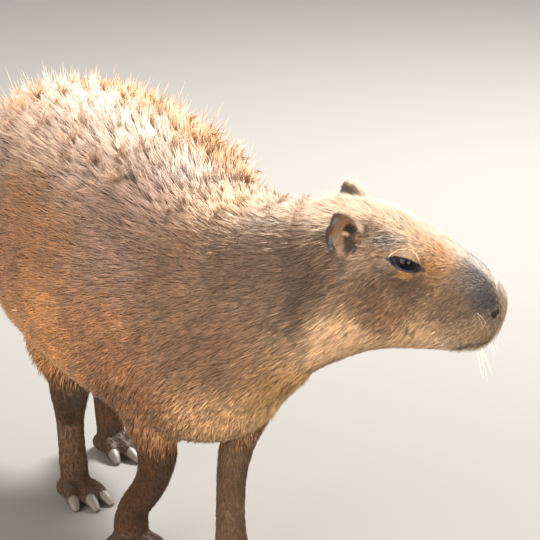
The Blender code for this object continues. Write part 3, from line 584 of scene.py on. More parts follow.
# How the coat lies, from place to place: where, which way, length, lift, width, depth under the solids, tone
trunkGuides = {
    "rumpHigh": ((-0.425, 0.00, 0.43), (-0.6, 0, -0.5), 38, 30, 1.35, 8, "tawny"),
    "rumpLow": ((-0.430, 0.04, 0.33), (-0.2, 0, -1), 32, 20, 1.3, 8, "rust"),
    "buttock": ((-0.330, 0.10, 0.27), (-0.3, 0, -1), 28, 15, 1.3, 7, "rust"),
    # croup to withers, and napeEnd further down: their pale tone is painted sunlight along the top of the back
    "croup": ((-0.330, 0.00, 0.525), (-1, 0, 0), 44, 30, 1.35, 8, "cream"),
    "hipCrest": ((-0.220, 0.00, 0.550), (-1, 0, 0), 44, 26, 1.35, 8, "cream"),
    "loinCrest": ((-0.080, 0.00, 0.560), (-1, 0, 0), 44, 24, 1.35, 8, "cream"),
    "ribsCrest": ((0.060, 0.00, 0.550), (-1, 0, 0), 40, 22, 1.3, 8, "cream"),
    "withers": ((0.190, 0.00, 0.537), (-1, 0, 0), 36, 20, 1.25, 8, "cream"),
    # the Far guides, on the far side only: their tan is painted light, the sun shining through the backlit hair
    "croupFar": ((-0.330, 0.050, 0.518), (-1, 0, 0), 42, 32, 1.35, 8, "amber"),
    "hipCrestFar": ((-0.220, 0.055, 0.538), (-1, 0, 0), 42, 32, 1.35, 8, "amber"),
    "loinCrestFar": ((-0.080, 0.055, 0.548), (-1, 0, 0), 42, 32, 1.35, 8, "amber"),
    "ribsCrestFar": ((0.060, 0.050, 0.540), (-1, 0, 0), 40, 30, 1.3, 8, "amber"),
    "withersFar": ((0.170, 0.060, 0.515), (-1, 0, 0), 34, 28, 1.25, 8, "amber"),
    "croupSide": ((-0.330, 0.085, 0.490), (-1, 0, -0.1), 44, 24, 1.3, 8, "dun"),
    "hipCrestSide": ((-0.220, 0.100, 0.511), (-1, 0, -0.1), 44, 24, 1.3, 8, "dun"),
    "loinCrestSide": ((-0.060, 0.102, 0.515), (-1, 0, -0.1), 44, 24, 1.3, 8, "dun"),
    "ribsCrestSide": ((0.080, 0.090, 0.513), (-1, 0, -0.1), 40, 22, 1.3, 8, "dun"),
    "withersBand": ((0.200, 0.058, 0.512), (-1, 0, -0.1), 36, 20, 1.25, 8, "fawn"),
    "withersSide": ((0.185, 0.105, 0.473), (-1, 0, -0.2), 36, 18, 1.2, 8, "fawn"),
    "nape": ((0.320, 0.01, 0.530), (-1, 0, 0), 28, 22, 1.2, 7, "sand"),
    "napeEnd": ((0.385, 0.045, 0.538), (-0.9, -0.3, 0), 24, 24, 1.1, 6, "cream"),
    "napeSide": ((0.320, 0.080, 0.475), (-1, 0, -0.2), 26, 15, 1.15, 7, "umber"),
    "hipSide": ((-0.260, 0.15, 0.400), (-1, 0, -0.35), 42, 16, 1.2, 8, "rust"),
    "flankHigh": ((-0.045, 0.142, 0.453), (-1, 0, -0.10), 46, 18, 1.25, 8, "tawny"),
    "ribsSide": ((0.070, 0.145, 0.430), (-1, 0, -0.12), 42, 15, 1.2, 8, "tawny"),
    "flank": ((-0.050, 0.165, 0.360), (-1, 0, -0.20), 42, 12, 1.15, 8, "tawny"),
    "ribsLow": ((0.035, 0.152, 0.310), (-1, 0, -0.3), 38, 12, 1.15, 8, "rust"),
    "flankLow": ((-0.050, 0.12, 0.240), (-1, 0, -0.3), 38, 12, 1.15, 7, "rust"),
    # belly, chest and throat: their straw and wheat are the paler underside, made brighter still as painted light
    # bounced up from the ground
    "belly": ((-0.050, 0.00, 0.195), (-1, 0, 0), 32, 18, 1.3, 7, "straw"),
    "shoulderHigh": ((0.215, 0.120, 0.435), (-1, 0, -0.3), 36, 16, 1.2, 7, "fawn"),
    "shoulder": ((0.222, 0.125, 0.365), (-1, 0, -0.45), 34, 12, 1.15, 7, "tawny"),
    "shoulderLow": ((0.225, 0.11, 0.275), (-0.7, 0, -0.8), 30, 11, 1.15, 6, "tawny"),
    "chest": ((0.305, 0.00, 0.235), (-0.5, 0, -0.8), 30, 16, 1.2, 6, "straw"),
    "neckHighRight": ((0.375, -0.042, 0.478), (-0.9, -0.25, -0.35), 25, 13, 1.1, 6, "dusk"),
    "neckTopRight": ((0.432, 0.004, 0.500), (-0.85, -0.3, -0.3), 22, 14, 1.0, 5, "dusk"),
    "neckRight": ((0.455, 0.004, 0.455), (-0.8, -0.35, -0.5), 22, 13, 1.0, 5, "dusk"),
    "neckLowRight": ((0.380, -0.055, 0.385), (-0.85, -0.35, -0.45), 25, 13, 1.1, 6, "umber"),
    "neckHighLeft": ((0.330, 0.130, 0.480), (-0.9, -0.1, -0.35), 25, 13, 1.1, 6, "dusk"),
    "neckLeft": ((0.365, 0.145, 0.440), (-0.9, -0.1, -0.45), 24, 13, 1.05, 5, "dusk"),
    "neckLowLeft": ((0.325, 0.125, 0.390), (-0.9, -0.1, -0.45), 25, 13, 1.1, 6, "umber"),
    "throat": ((0.415, 0.045, 0.325), (-0.5, -0.35, -0.7), 24, 20, 1.1, 5, "wheat"),
}
headGuides = {
    # crown and forehead: their pale tone is painted sunlight on the top of the head
    "crown": ((0.000, 0.00, 0.553), (-1, 0, 0), 19, 52, 1.0, 3, "blonde"),
    "crownSide": ((0.010, 0.040, 0.545), (-1, 0, 0), 16, 36, 0.9, 3, "blonde"),
    "forehead": ((0.060, 0.00, 0.545), (-1, 0, 0), 14, 50, 0.95, 3, "blonde"),
    "foreheadSide": ((0.070, 0.030, 0.532), (-1, 0.1, -0.1), 12, 34, 0.8, 2.6, "blonde"),
    "bridge": ((0.120, 0.00, 0.512), (-1, 0, 0), 9, 28, 0.75, 2, "pinkCream"),
    "bridgeSide": ((0.115, 0.030, 0.503), (-1, 0, 0), 8, 24, 0.7, 1.6, "peach"),
    "noseTop": ((0.165, 0.00, 0.480), (-1, 0, 0), 4, 18, 0.55, 1, "frost"),
    "noseShade": ((0.165, 0.026, 0.468), (-1, 0, -0.2), 3.6, 14, 0.55, 0.9, "slate"),
    "noseFront": ((0.196, 0.000, 0.430), (-0.3, 0, -1), 4, 40, 0.5, 0.8, "lip"),
    # noseFrontFar and lipFar, on the far side only: their frost is a painted rim highlight
    "noseFrontFar": ((0.188, 0.020, 0.438), (-0.3, 0.2, -1), 5, 46, 0.5, 0.9, "frost"),
    "lipFar": ((0.176, 0.024, 0.402), (-0.4, 0.2, -1), 6, 46, 0.5, 0.9, "frost"),
    "temple": ((0.050, 0.048, 0.517), (-1, 0.1, -0.35), 8, 22, 0.75, 2.4, "ash"),
    "behindEar": ((-0.020, 0.070, 0.500), (-1, 0, -0.5), 16, 16, 0.95, 4, "dusk"),
    "aboveEye": ((0.088, 0.045, 0.517), (-1, 0.1, -0.1), 7, 24, 0.7, 1.8, "sand"),
    "beforeEye": ((0.112, 0.046, 0.490), (-0.8, 0, -0.3), 5, 12, 0.6, 1.2, "tan"),
    "underEye": ((0.086, 0.055, 0.474), (-1, 0, -0.6), 5, 11, 0.6, 1.3, "soot"),
    "cheek": ((0.050, 0.070, 0.455), (-1, 0, -0.75), 8, 14, 0.78, 2.4, "cheek"),
    "cheekLow": ((0.065, 0.066, 0.425), (-1, 0, -0.8), 9, 14, 0.78, 2.4, "umber"),
    # jowl, jawSide and jawUnder: the paler underside of the head, made brighter still as painted light bounced up from
    # the ground
    "jowl": ((0.020, 0.070, 0.400), (-1, 0, -0.9), 13, 15, 0.85, 3.2, "jaw"),
    "jawSide": ((0.090, 0.055, 0.400), (-1, 0, -0.9), 9, 16, 0.72, 2.3, "jaw"),
    "muzzleSide": ((0.140, 0.047, 0.440), (-1, 0, -0.7), 6, 13, 0.62, 1.4, "muzzle"),
    "noseSide": ((0.174, 0.040, 0.450), (-1, 0, -0.7), 3.2, 10, 0.52, 0.9, "slate"),
    "lip": ((0.168, 0.042, 0.402), (-0.7, 0, -0.7), 5, 20, 0.6, 1.1, "lip"),
    "chin": ((0.165, 0.00, 0.382), (-1, 0, -0.3), 11, 38, 0.65, 1.6, "frost"),
    "jawUnder": ((0.080, 0.00, 0.377), (-1, 0, 0), 14, 28, 0.8, 2.6, "wheat"),
    "occiput": ((-0.030, 0.00, 0.545), (-1, 0, 0), 22, 34, 1.05, 4, "pinkCream"),
}
legGuides = {  # by height above the floor: length, lift, width, depth, tone
    "sole": (0.000, 3.0, 8, 0.6, 0.4, "hoof"), "toes": (0.020, 5.0, 10, 0.7, 0.8, "hoof"),
    "ankle": (0.050, 6.0, 12, 0.9, 1.4, "bark"), "shank": (0.110, 8.0, 12, 1.0, 2.0, "bark"),
    "knee": (0.180, 12.0, 13, 1.3, 3.4, "bark"), "thigh": (0.250, 19.0, 14, 1.6, 5.5, "tawny"),
}


def linear(tone):
    share = np.array(tone) / 255
    return np.where(share <= 0.04045, share / 12.92, ((share + 0.055) / 1.055) ** 2.4)


def guideTable():
    rows = []
    for name, (spot, way, *sizes, tone) in trunkGuides.items():
        for side in (1, -1) if spot[1] and spot[0] < 0.34 and not name.endswith("Far") else (1,):
            rows.append((*onSide(spot, side), *onSide(way, side), *sizes, *linear(tones[tone])))
    for name, (spot, way, *sizes, tone) in headGuides.items():
        for side in (1, -1) if spot[1] and not name.endswith("Far") else (1,):
            place = headPlace @ onSide(spot, side)
            rows.append((*place, *(headPlace.to_3x3() @ onSide(way, side)), *sizes, *linear(tones[tone])))
    return np.array(rows)


guides = guideTable()
legTable = np.array([(*sizes, *linear(tones[tone])) for *sizes, tone in legGuides.values()])


def groom(points):
    # lie, length, lift, width and depth in metres and radians, and the tone at each point
    apart = ((points[:, None] - guides[None, :, :3]) ** 2).sum(2)
    weight = 1 / (apart + 0.00012) ** 2
    weight /= weight.sum(1, keepdims=True)
    lie = weight @ guides[:, 3:6]
    sizes = weight @ guides[:, 6:10]
    closer = weight**1.2
    tone = closer @ guides[:, 10:13] / closer.sum(1, keepdims=True)
    z = points[:, 2]
    leg = 1 - ease(z, 0.165, 0.265)
    legSizes = np.stack([np.interp(z, legTable[:, 0], legTable[:, k]) for k in range(1, 5)], 1)
    legTone = np.stack([np.interp(z, legTable[:, 0], legTable[:, k]) for k in range(5, 8)], 1)
    # painted shade: the left foreleg and the right hindleg, above the feet, are tinted towards the greyer shade tone
    # for how the light falls on them
    shaded = leg * (1 - ease(legSide(points), -0.012, 0.012)) * ease(z, 0.03, 0.06)
    legTone = legTone + (linear(tones["shade"]) - legTone) * (0.75 * shaded)[:, None]
    toes = 1 - ease(z, 0.020, 0.055)
    down = np.stack([0.15 + 1.2 * toes, 0 * z, -1 + 0.6 * toes], 1)
    lie = lie + (down - lie) * leg[:, None]
    sizes = sizes + (legSizes - sizes) * leg[:, None]
    tone = tone + (legTone - tone) * leg[:, None]
    return lie, sizes[:, 0] / 1000, np.radians(sizes[:, 1]), sizes[:, 2] / 1000, sizes[:, 3] / 1000, tone


def legSide(points):
    # less than 0 at the left foreleg and the right hindleg
    fore = points[:, 0] > 0.03
    middle = np.where(fore, np.interp(points[:, 2], (0.03, 0.15, 0.25), (-0.015, -0.010, 0.0)), 0.0)
    return np.where(fore, middle - points[:, 1], points[:, 1] - middle)


def inBlocks(work, points, *others):
    # the guide weights are worked out a block at a time, to stay small in memory
    parts = [work(points[i:i + 20000], *(o[i:i + 20000] for o in others)) for i in range(0, len(points), 20000)]
    if isinstance(parts[0], tuple):
        return tuple(np.concatenate(column) for column in zip(*parts))
    return np.concatenate(parts)


def earShare(points):
    # 1 on the free part of each ear, 0 elsewhere
    share = np.zeros(len(points))
    for side in (-1, 1):
        local = inEar(points, side)
        reach = np.linalg.norm(local * (0.9, 0.6, 0.9), axis=1)
        share = np.maximum(share, (1 - ease(reach, 1.0, 1.2)) * ease(local[:, 2] + 0.4 * local[:, 1], -0.85, -0.45))
    return share


def coatDepth(points, normals):
    def work(spots):
        return groom(spots)[4]
    depth = inBlocks(work, points)
    lids = np.maximum(insideLids(points, -1), insideLids(points, 1))
    depth = depth * (1 - ease(lids, -0.010, -0.002))
    return depth * (1 - earShare(points))


skin = bodyForm()
fuseBody(skin)
print("body fused:", len(skin.data.polygons), "faces")
joinEars(skin)
refine(skin)
print("ears joined and face refined:", len(skin.data.polygons), "faces")
sculptFace(skin, coatDepth)
print("lids, nostrils and mouth modelled")


def drift(points, size, seed):
    # soft noise from 0 to 1 that changes over that size in metres
    grid = points / size + seed * 17.3
    base = np.floor(grid)
    share = grid - base
    share = share * share * (3 - 2 * share)
    total = np.zeros(len(points))
    for corner in np.ndindex(2, 2, 2):
        cell = base + corner
        shade = np.sin(cell @ np.array((127.1, 311.7, 74.7)) + seed) * 43758.5453
        near = np.prod(np.where(np.array(corner), share, 1 - share), 1)
        total += near * (shade - np.floor(shade))
    return total


# Patches on the ears: tone, how far ahead and up of the middle, half width and height, strength; the near-black ones at
# the front are painted shadow in the ear's hollows
earPatches = (("earDark", -0.85, 0.10, 0.40, 1.10, 0.6), ("earDark", -0.20, 0.90, 0.60, 0.30, 0.6),
              ("earOlive", -0.10, 0.78, 0.30, 0.16, 0.8), ("earBlue", -0.40, 0.50, 0.28, 0.16, 0.85),
              ("earBlue", -0.62, -0.52, 0.18, 0.34, 0.85), ("nostril", 0.58, 0.00, 0.42, 0.30, 0.9),
              ("nostril", 0.48, -0.62, 0.42, 0.50, 0.9), ("sand", 0.36, -0.22, 0.20, 0.07, 0.6))


def markings(points, stray=0):
    # the tone of the coat at each point, which skin and tufts share; strayed tufts blend its edges
    tone = inBlocks(lambda spots: groom(spots)[5], points + stray)
    local = toHead(points)
    for side in (-1, 1):
        along, up, out = inEye(points, side)
        near = ease(np.hypot(along, up), 0.040, 0.030) * (out > 0)
        gap = insideLids(points, side)
        ring = near * np.maximum(ease(gap, -0.0036, -0.0020), ease(lidStreak(points, side), 0.0020, 0.0010))
        ochre = near * ease(np.hypot(along - 0.003, (up + 0.0130) * 1.9), 0.013, 0.005)
        ahead = near * ease(np.hypot(along - 0.028, (up - 0.003) * 0.9), 0.009, 0.003)
        # the blue strip along the lower lid is a painted sheen
        below = ring * ease(-up, -0.001, 0.003) * ease(-along, -0.013, -0.009)
        line = creaseShare(points, side)
        corner = near * ease(np.hypot(along - 0.0195, (up - eyeForm["level"]) * 1.2), 0.0046, 0.0024)
        for share, name in ((ochre * 0.75, "ochre"), (ahead * 0.45, "ochre"), (line * 0.95, "lidLine"),
                            (ring, "lidEdge"), (below, "lidSheen"), (corner, "lidCorner")):
            tone = tone + (linear(tones[name]) - tone) * share[:, None]
        # the nostril's opening is painted near black: painted shade in the pit
        nostrilShade = ease(nostrilReach(points, side), 0.0056, 0.0034)
        tone = tone + (linear(tones["nostril"]) - tone) * nostrilShade[:, None]
    line, fade = mouthLine(points)
    lips = fade * np.exp(-((line / 0.0035) ** 2)) * 0.8
    tone = tone + (linear(tones["lipEdge"]) - tone) * lips[:, None]
    ear = earShare(points)
    earTone = np.zeros((len(points), 3)) + linear(tones["earSkin"])
    for side in (-1, 1):
        inside = inEar(points, side)
        own = (np.abs(inside) < (1.4, 3.0, 1.4)).all(1)
        for name, ahead, up, wide, tall, strength in earPatches:
            away = np.hypot((inside[:, 0] - ahead) / wide, (inside[:, 2] - up) / tall)
            away = away + 0.5 * (drift(points, 0.004, 3) - 0.5)
            share = own * strength * ease(away, 1.25, 0.55)
            earTone = earTone + (linear(tones[name]) - earTone) * share[:, None]
        # painted shade: the far ear is darkened to little more than half
        if side > 0:
            earTone = np.where(own[:, None], 0.55 * earTone, earTone)
        # the ears' rims are made pale: painted rim light
        edge = own * ease(np.hypot(inside[:, 0], inside[:, 2]), 0.86, 0.97) * paintedEarRimLight(points)
        earTone = earTone + (linear(tones["cream"]) - earTone) * (0.8 * edge)[:, None]
    tone = tone + (earTone - tone) * ear[:, None]
    shade = 0.82 + 0.36 * drift(points, 0.035, 1)
    return tone * (shade * (1 - ear) + ear)[:, None]


def skinFaces(skin):
    mesh = skin.data
    mesh.calc_loop_triangles()
    faces = np.zeros(len(mesh.loop_triangles) * 3, int)
    mesh.loop_triangles.foreach_get("vertices", faces)
    return faces.reshape(-1, 3)


coatForm = {"seed": 11, "cover": {"trunk": 2.5, "head": 2.2, "muzzle": 1.6, "legs": 1.5, "feet": 0.8, "ears": 1.0},
            "shape": 0.6, "sunk": 0.0012, "thick": 0.30, "sway": 0.16, "leaders": (0.085, 0.20), "clump": (0.46, 0.40),
            "rootShade": 0.50, "midShade": 0.86, "headRoot": 0.48, "paleRoot": 0.47, "patch": 0.003,
            "clumpSpread": (0.12, 0.32), "ownSpread": (0.12, 0.40), "room": 0.025, "brightest": 0.88,
            "stray": (0.016, 0.006),
            "boldLift": 2.1, "boldSway": 1.8, "hook": (-0.3, 1.5), "boldClump": 0.80}


def partOf(points):
    # which coat piece a root belongs to
    local = toHead(points)
    names = np.full(len(points), "coatShoulders", dtype="<U20")
    for name, end in (("coatRibs", 0.115), ("coatFlank", 0.020), ("coatLoin", -0.080), ("coatHips", -0.180),
                      ("coatCroup", -0.265), ("coatRump", -0.345)):
        names[points[:, 0] < end] = name
    names[points[:, 0] > 0.205] = "coatChest"
    names[points[:, 0] > 0.285] = "coatNeck"
    head = (points - np.array((0.404, 0.055, 0.44))) @ np.array((0.762, 0.639, 0.105)) > 0
    cheek = head & (local[:, 0] < 0.060)
    face = head & ~cheek
    names[cheek & (local[:, 2] > 0.47)] = "coatCrown"
    names[cheek & (local[:, 2] <= 0.47)] = "coatCheeks"
    names[face] = "coatFace"
    names[face & (local[:, 0] > 0.125)] = "coatMuzzle"
    low = (points[:, 2] < 0.185) & ~head
    leg = np.where(points[:, 0] > 0.03, "Fore", "Hind")
    near = np.stack([np.abs(points[:, 1] - np.interp(points[:, 2], *legLine(name))) for name in legs])
    right = np.where(points[:, 0] > 0.03, near[2] < near[3], near[0] + 0.4 * np.abs(points[:, 0] + 0.13) <
                     near[1] + 0.4 * np.abs(points[:, 0] + 0.26))
    side = np.where(right, "Right", "Left")
    foot = points[:, 2] < 0.046
    names[low] = np.char.add(np.char.add(np.char.add("coat", leg), "leg"), side)[low]
    names[low & foot] = np.char.add(np.char.add(np.char.add("coat", leg), "foot"), side)[low & foot]
    names[earShare(points) > 0.5] = "coatEars"
    return names


def legLine(name):
    rows = np.array(legs[name])[::-1]
    return rows[:, 2], rows[:, 1]


def partKind(name):
    for kind, words in (("ears", "Ears"), ("feet", "foot"), ("legs", "leg"), ("muzzle", "Muzzle"),
                        ("head", "Crown Cheeks Face")):
        if any(word in name for word in words.split()):
            return kind
    return "trunk"


def chartOf(name, points):
    # an unwrap of the skin round the trunk, the head or a leg, spread over the whole map
    if partKind(name) in ("head", "muzzle", "ears"):
        local = toHead(points)
        along, angle = local[:, 0], np.arctan2(local[:, 1], local[:, 2] - 0.45)
        if name == "coatEars":
            along, angle = local[:, 2], local[:, 0] + 0.5 * np.sign(local[:, 1])
    elif partKind(name) in ("legs", "feet"):
        middle = points.mean(0)
        along, angle = points[:, 2], np.arctan2(points[:, 1] - middle[1], points[:, 0] - middle[0])
        if partKind(name) == "feet":
            along, angle = points[:, 0], points[:, 1] + 0.4 * points[:, 2]
    else:
        along, angle = points[:, 0], np.arctan2(points[:, 1], points[:, 2] - 0.37)
    chart = np.stack([angle, along], 1)
    low, high = chart.min(0), chart.max(0)
    return 0.01 + 0.975 * (chart - low) / np.maximum(high - low, 1e-6)


def spikes(name, centres, side, over, widths, tips, shades, patches, material):
    # one solid mesh of closed three-sided spikes: rings of centres, then a tip
    count, rings = centres.shape[:2]
    half = widths[..., None] * side[:, None] / 2
    ridge = widths[..., None] * coatForm["thick"] * over[:, None]
    loops = np.stack([centres + half, centres + ridge, centres - half], 2).reshape(count, -1, 3)
    verts = np.concatenate([loops, tips[:, None]], 1) + np.array(rowShift)
    verts[..., 2] = np.maximum(verts[..., 2], skinForm["floor"])
    per, last, size = 3 * rings + 1, 3 * (rings - 1), coatForm["patch"]
    faces, charts = [], []
    for k in range(rings - 1):
        for i in range(3):
            j = (i + 1) % 3
            faces.append((3 * k + i, 3 * k + j, 3 * k + 3 + j, 3 * k + 3 + i))
            charts += [(i, k), (i + 1, k), (i + 1, k + 1), (i, k + 1)]
    for i in range(3):
        faces.append((last + i, last + (i + 1) % 3, per - 1))
        charts += [(i, rings - 1), (i + 1, rings - 1), (i + 0.5, rings)]
    faces.append((2, 1, 0))
    charts += [(0, 0.1), (1.5, 0), (3, 0.1)]
    totals = np.array([len(face) for face in faces])
    corners = np.concatenate([np.array(face) for face in faces])
    places = (np.array(charts) / (3, rings) - 0.5) * size
    mesh = bpy.data.meshes.new(name)
    mesh.vertices.add(count * per)
    mesh.vertices.foreach_set("co", verts.ravel())
    mesh.loops.add(count * len(corners))
    mesh.loops.foreach_set("vertex_index", (corners[None] + per * np.arange(count)[:, None]).ravel().astype(np.int32))
    starts = np.concatenate([[0], np.cumsum(totals)[:-1]])
    mesh.polygons.add(count * len(faces))
    mesh.polygons.foreach_set("loop_start", (starts[None] + len(corners) * np.arange(count)[:, None]).ravel().astype(np.int32))
    mesh.polygons.foreach_set("use_smooth", np.ones(count * len(faces), bool))
    mesh.update(calc_edges=True)
    uv = mesh.uv_layers.new(name="OFBake")
    uv.data.foreach_set("uv", (patches[:, None] + places[None]).ravel())
    shade = mesh.color_attributes.new("coatTone", "FLOAT_COLOR", "POINT")
    full = np.concatenate([np.repeat(shades[:, :-1], 3, 1), shades[:, -1:]], 1)
    full = np.concatenate([full, np.ones((*full.shape[:2], 1))], 2)
    shade.data.foreach_set("color", full.ravel())
    mesh.materials.append(material)
    piece = bpy.data.objects.new(name, mesh)
    bpy.context.scene.collection.objects.link(piece)
    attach(piece, "root")
    return piece


def unit(vectors):
    return vectors / np.maximum(np.linalg.norm(vectors, axis=1, keepdims=True), 1e-9)


def keepHue(tone):
    # too bright a tone is dimmed as a whole, so that it doesn't turn yellow
    top = tone.max(-1, keepdims=True)
    return tone * np.minimum(1, coatForm["brightest"] / np.maximum(top, 1e-6))


def keepInside(line):
    # hairs that would pass the solids' box by more than the room given are drawn in, root end first
    low, high = (np.array(corner) - np.array(rowShift) for corner in solidBox)
    room = coatForm["room"] * (high - low)
    root, reach = line[:, :1], line - line[:, :1]
    tip = reach[:, -1]
    free = np.where(tip > 0, high + room - root[:, 0], root[:, 0] - low + room)
    share = np.clip((free / np.maximum(np.abs(tip), 1e-6)).min(1), 0.2, 1)
    return root + reach * share[:, None, None]


def paintedEarRimLight(points):
    # painted rim light: the near ear's rim is made pale along its upper front, the far ear's all round
    inside = inEar(points, -1)
    front = ease(inside[:, 0] + 0.35 * inside[:, 2], 0.15, 0.50) * ease(inside[:, 2], -0.10, 0.15)
    return np.where(toHead(points)[:, 1] < 0, front, 1.0)


def earEdge(points):
    # 1 along the rim of each ear, and the way out from the ear's middle there
    edge, ways = np.zeros(len(points)), np.zeros((len(points), 3))
    for side in (-1, 1):
        local = inEar(points, side)
        reach = np.hypot(local[:, 0], local[:, 2])
        own = (reach < 1.6) & (np.abs(local[:, 1]) < 2.5)
        edge = np.where(own, ease(reach, 0.74, 0.94), edge)
        out = np.stack([local[:, 0], 0 * reach, local[:, 2]], 1) @ np.array(earPlace(side).to_3x3()).T
        ways = np.where(own[:, None], out, ways)
    return edge, unit(ways)


def inCup(points, facing):
    # 1 on the bare inside of each ear
    share = np.zeros(len(points))
    for side in (-1, 1):
        local = inEar(points, side)
        out = np.array(earPlace(side).to_3x3())[:, 1] * side
        open_ = ease(unit(facing) @ out, 0.1, 0.5) * ease(np.hypot(local[:, 0], local[:, 2]), 0.86, 0.72)
        share = np.maximum(share, open_ * (np.abs(local[:, 1]) < 2.5))
    return share * earShare(points)


grizzleForm = {"spot": (0.060, 0.047, 0.519), "reach": (0.024, 0.010), "share": 0.34, "nose": 0.75}


def grizzle(points):
    # the pale-flecked patch between eye and ear, and the top of the nose
    local = toHead(points)
    local[:, 1] = np.abs(local[:, 1])
    away = np.linalg.norm((local - np.array(grizzleForm["spot"])) * (0.8, 1, 2.0), axis=1)
    nose = ease(local[:, 0], 0.130, 0.155) * ease(local[:, 2], 0.446, 0.474) * ease(-local[:, 0], -0.187, -0.178)
    return np.maximum(ease(away, *grizzleForm["reach"]), grizzleForm["nose"] * nose)


def growCoat(skin, material):
    draw = np.random.default_rng(coatForm["seed"])
    spots, normals = vertArray(skin.data), vertArray(skin.data, "normal")
    faces = skinFaces(skin)
    middles = spots[faces].mean(1)
    areas = np.linalg.norm(np.cross(spots[faces[:, 1]] - spots[faces[:, 0]], spots[faces[:, 2]] - spots[faces[:, 0]]), axis=1) / 2
    lie, length, lift, width, depth, tone = inBlocks(groom, middles)
    names = partOf(middles)
    cover = np.array([coatForm["cover"][partKind(name)] for name in names])
    # thinner towards the legs, so that no edge shows where the leg coat starts
    thin = (1 - ease(middles[:, 2], 0.185, 0.270)) * (cover == coatForm["cover"]["trunk"])
    cover = cover + (coatForm["cover"]["legs"] - cover) * thin
    ear = earShare(middles)
    length, width = length + (0.0045 - length) * ear, width + (0.0006 - width) * ear
    wanted = cover * areas / (coatForm["shape"] * width * length)
    wanted *= 1 - 0.85 * inCup(middles, np.cross(spots[faces[:, 1]] - spots[faces[:, 0]],
                                                 spots[faces[:, 2]] - spots[faces[:, 0]]))
    bare = np.maximum(insideLids(middles, -1), insideLids(middles, 1)) > -0.0034
    for side in (-1, 1):
        bare |= lidStreak(middles, side) < 0.0018
    bare |= np.maximum(creaseShare(middles, -1), creaseShare(middles, 1)) > 0.5
    bare |= np.minimum(nostrilReach(middles, -1), nostrilReach(middles, 1)) < 0.0042
    bare |= middles[:, 2] < 0.004
    wanted[bare] = 0
    edges = np.concatenate([[0], np.cumsum(wanted)])
    count = int(edges[-1])
    picks = np.searchsorted(edges, (np.arange(count) + draw.random(count)) * edges[-1] / count, side="right") - 1
    picks = np.clip(picks, 0, len(faces) - 1)
    a, b = draw.random(count), draw.random(count)
    flip = a + b > 1
    a[flip], b[flip] = 1 - a[flip], 1 - b[flip]
    shares = np.stack([1 - a - b, a, b], 1)
    roots = (spots[faces[picks]] * shares[..., None]).sum(1)
    over = unit((normals[faces[picks]] * shares[..., None]).sum(1))
    lie, length, lift, width, depth, tone = inBlocks(groom, roots)
    names = names[picks]
    ear = earShare(roots)

    def byPlace(name):
        # the first value on the body, the second on the head
        return coatForm[name][0] + (coatForm[name][1] - coatForm[name][0]) * onHead

    rim, rimWay = earEdge(roots)
    rim = rim * ear
    length, width = length + (0.0042 + 0.0022 * rim - length) * ear, width + (0.0006 - width) * ear
    lids = np.maximum(insideLids(roots, -1), insideLids(roots, 1))
    length = length * (1 - 0.55 * ease(lids, -0.014, -0.006))
    onLid = onUpperLid(roots, -1) | onUpperLid(roots, 1)
    length, width = np.where(onLid, 0.0026, length), np.where(onLid, 0.0005, width)
    onHead = np.isin(names, ("coatCrown", "coatCheeks", "coatFace", "coatMuzzle")).astype(float)
    stray = draw.normal(size=(count, 3)) * byPlace("stray")[:, None]
    tone = markings(roots, stray - over * (stray * over).sum(1, keepdims=True))
    # hair on the ears' rims is tinted sand: painted rim light
    tone = tone + (linear(tones["sand"]) - tone) * (0.75 * rim * paintedEarRimLight(roots))[:, None]
    lie = lie + (rimWay - lie) * rim[:, None]
    # every tuft leans a little its own way, and most gather to the tip of a leading tuft
    leads = draw.random(count) < byPlace("leaders")
    stands = ease(roots[:, 2], 0.470, 0.525) * (1 - onHead) * (1 - ear)
    stands = np.maximum(stands, 0.8 * ease(-roots[:, 0], 0.37, 0.42) * ease(roots[:, 2], 0.36, 0.44))
    stands = stands * (1 - ease(roots[:, 0], 0.30, 0.37))
    bold = stands * leads
    lie = unit(lie - over * (lie * over).sum(1, keepdims=True))
    across = np.cross(over, lie)
    sway = coatForm["sway"] * (1 + coatForm["boldSway"] * bold) * draw.normal(size=count)
    lie = unit(lie + across * np.clip(sway, -0.9, 0.9)[:, None])
    side = np.cross(over, lie)
    length = length * np.clip(draw.normal(1, 0.18, count), 0.5, 1.5)
    lift = lift * np.clip(draw.normal(1, 0.22, count), 0.4, 1.6)
    lift = np.where(ear > 0.5, 0.40, lift)
    lift = np.minimum(lift * (1 + coatForm["boldLift"] * bold * draw.random(count)), 1.3)
    length = length * (1 + 0.22 * bold * draw.random(count))
    # standing tufts hook forward at the tip, the others bend down to the coat
    hook = bold * draw.uniform(*coatForm["hook"], count)
    up1, up2 = lift, lift * (0.35 + 0.65 * bold) + hook
    way1 = lie * np.cos(up1)[:, None] + over * np.sin(up1)[:, None]
    way2 = lie * np.cos(up2)[:, None] + over * np.sin(up2)[:, None]
    base = roots - way1 * coatForm["sunk"]
    middle = roots + way1 * (length * 0.5)[:, None]
    tip = middle + way2 * (length * 0.5)[:, None]
    leaders = np.flatnonzero(leads)
    tree = kdtree.KDTree(len(leaders))
    for place, index in enumerate(leaders):
        tree.insert(roots[index] + (tip[index] - roots[index]) * 0.35, place)
    tree.balance()
    found = [tree.find(spot) for spot in roots + (tip - roots) * 0.35]
    leader = leaders[[hit[1] for hit in found]]
    apart = np.array([hit[2] for hit in found])
    pull = byPlace("clump") + (coatForm["boldClump"] - byPlace("clump")) * stands
    pull = pull * ease(apart, 0.020, 0.004) * (names != "coatEars")
    tip = tip + (tip[leader] - tip) * pull[:, None]
    middle = middle + (middle[leader] - middle) * (pull * 0.45)[:, None]
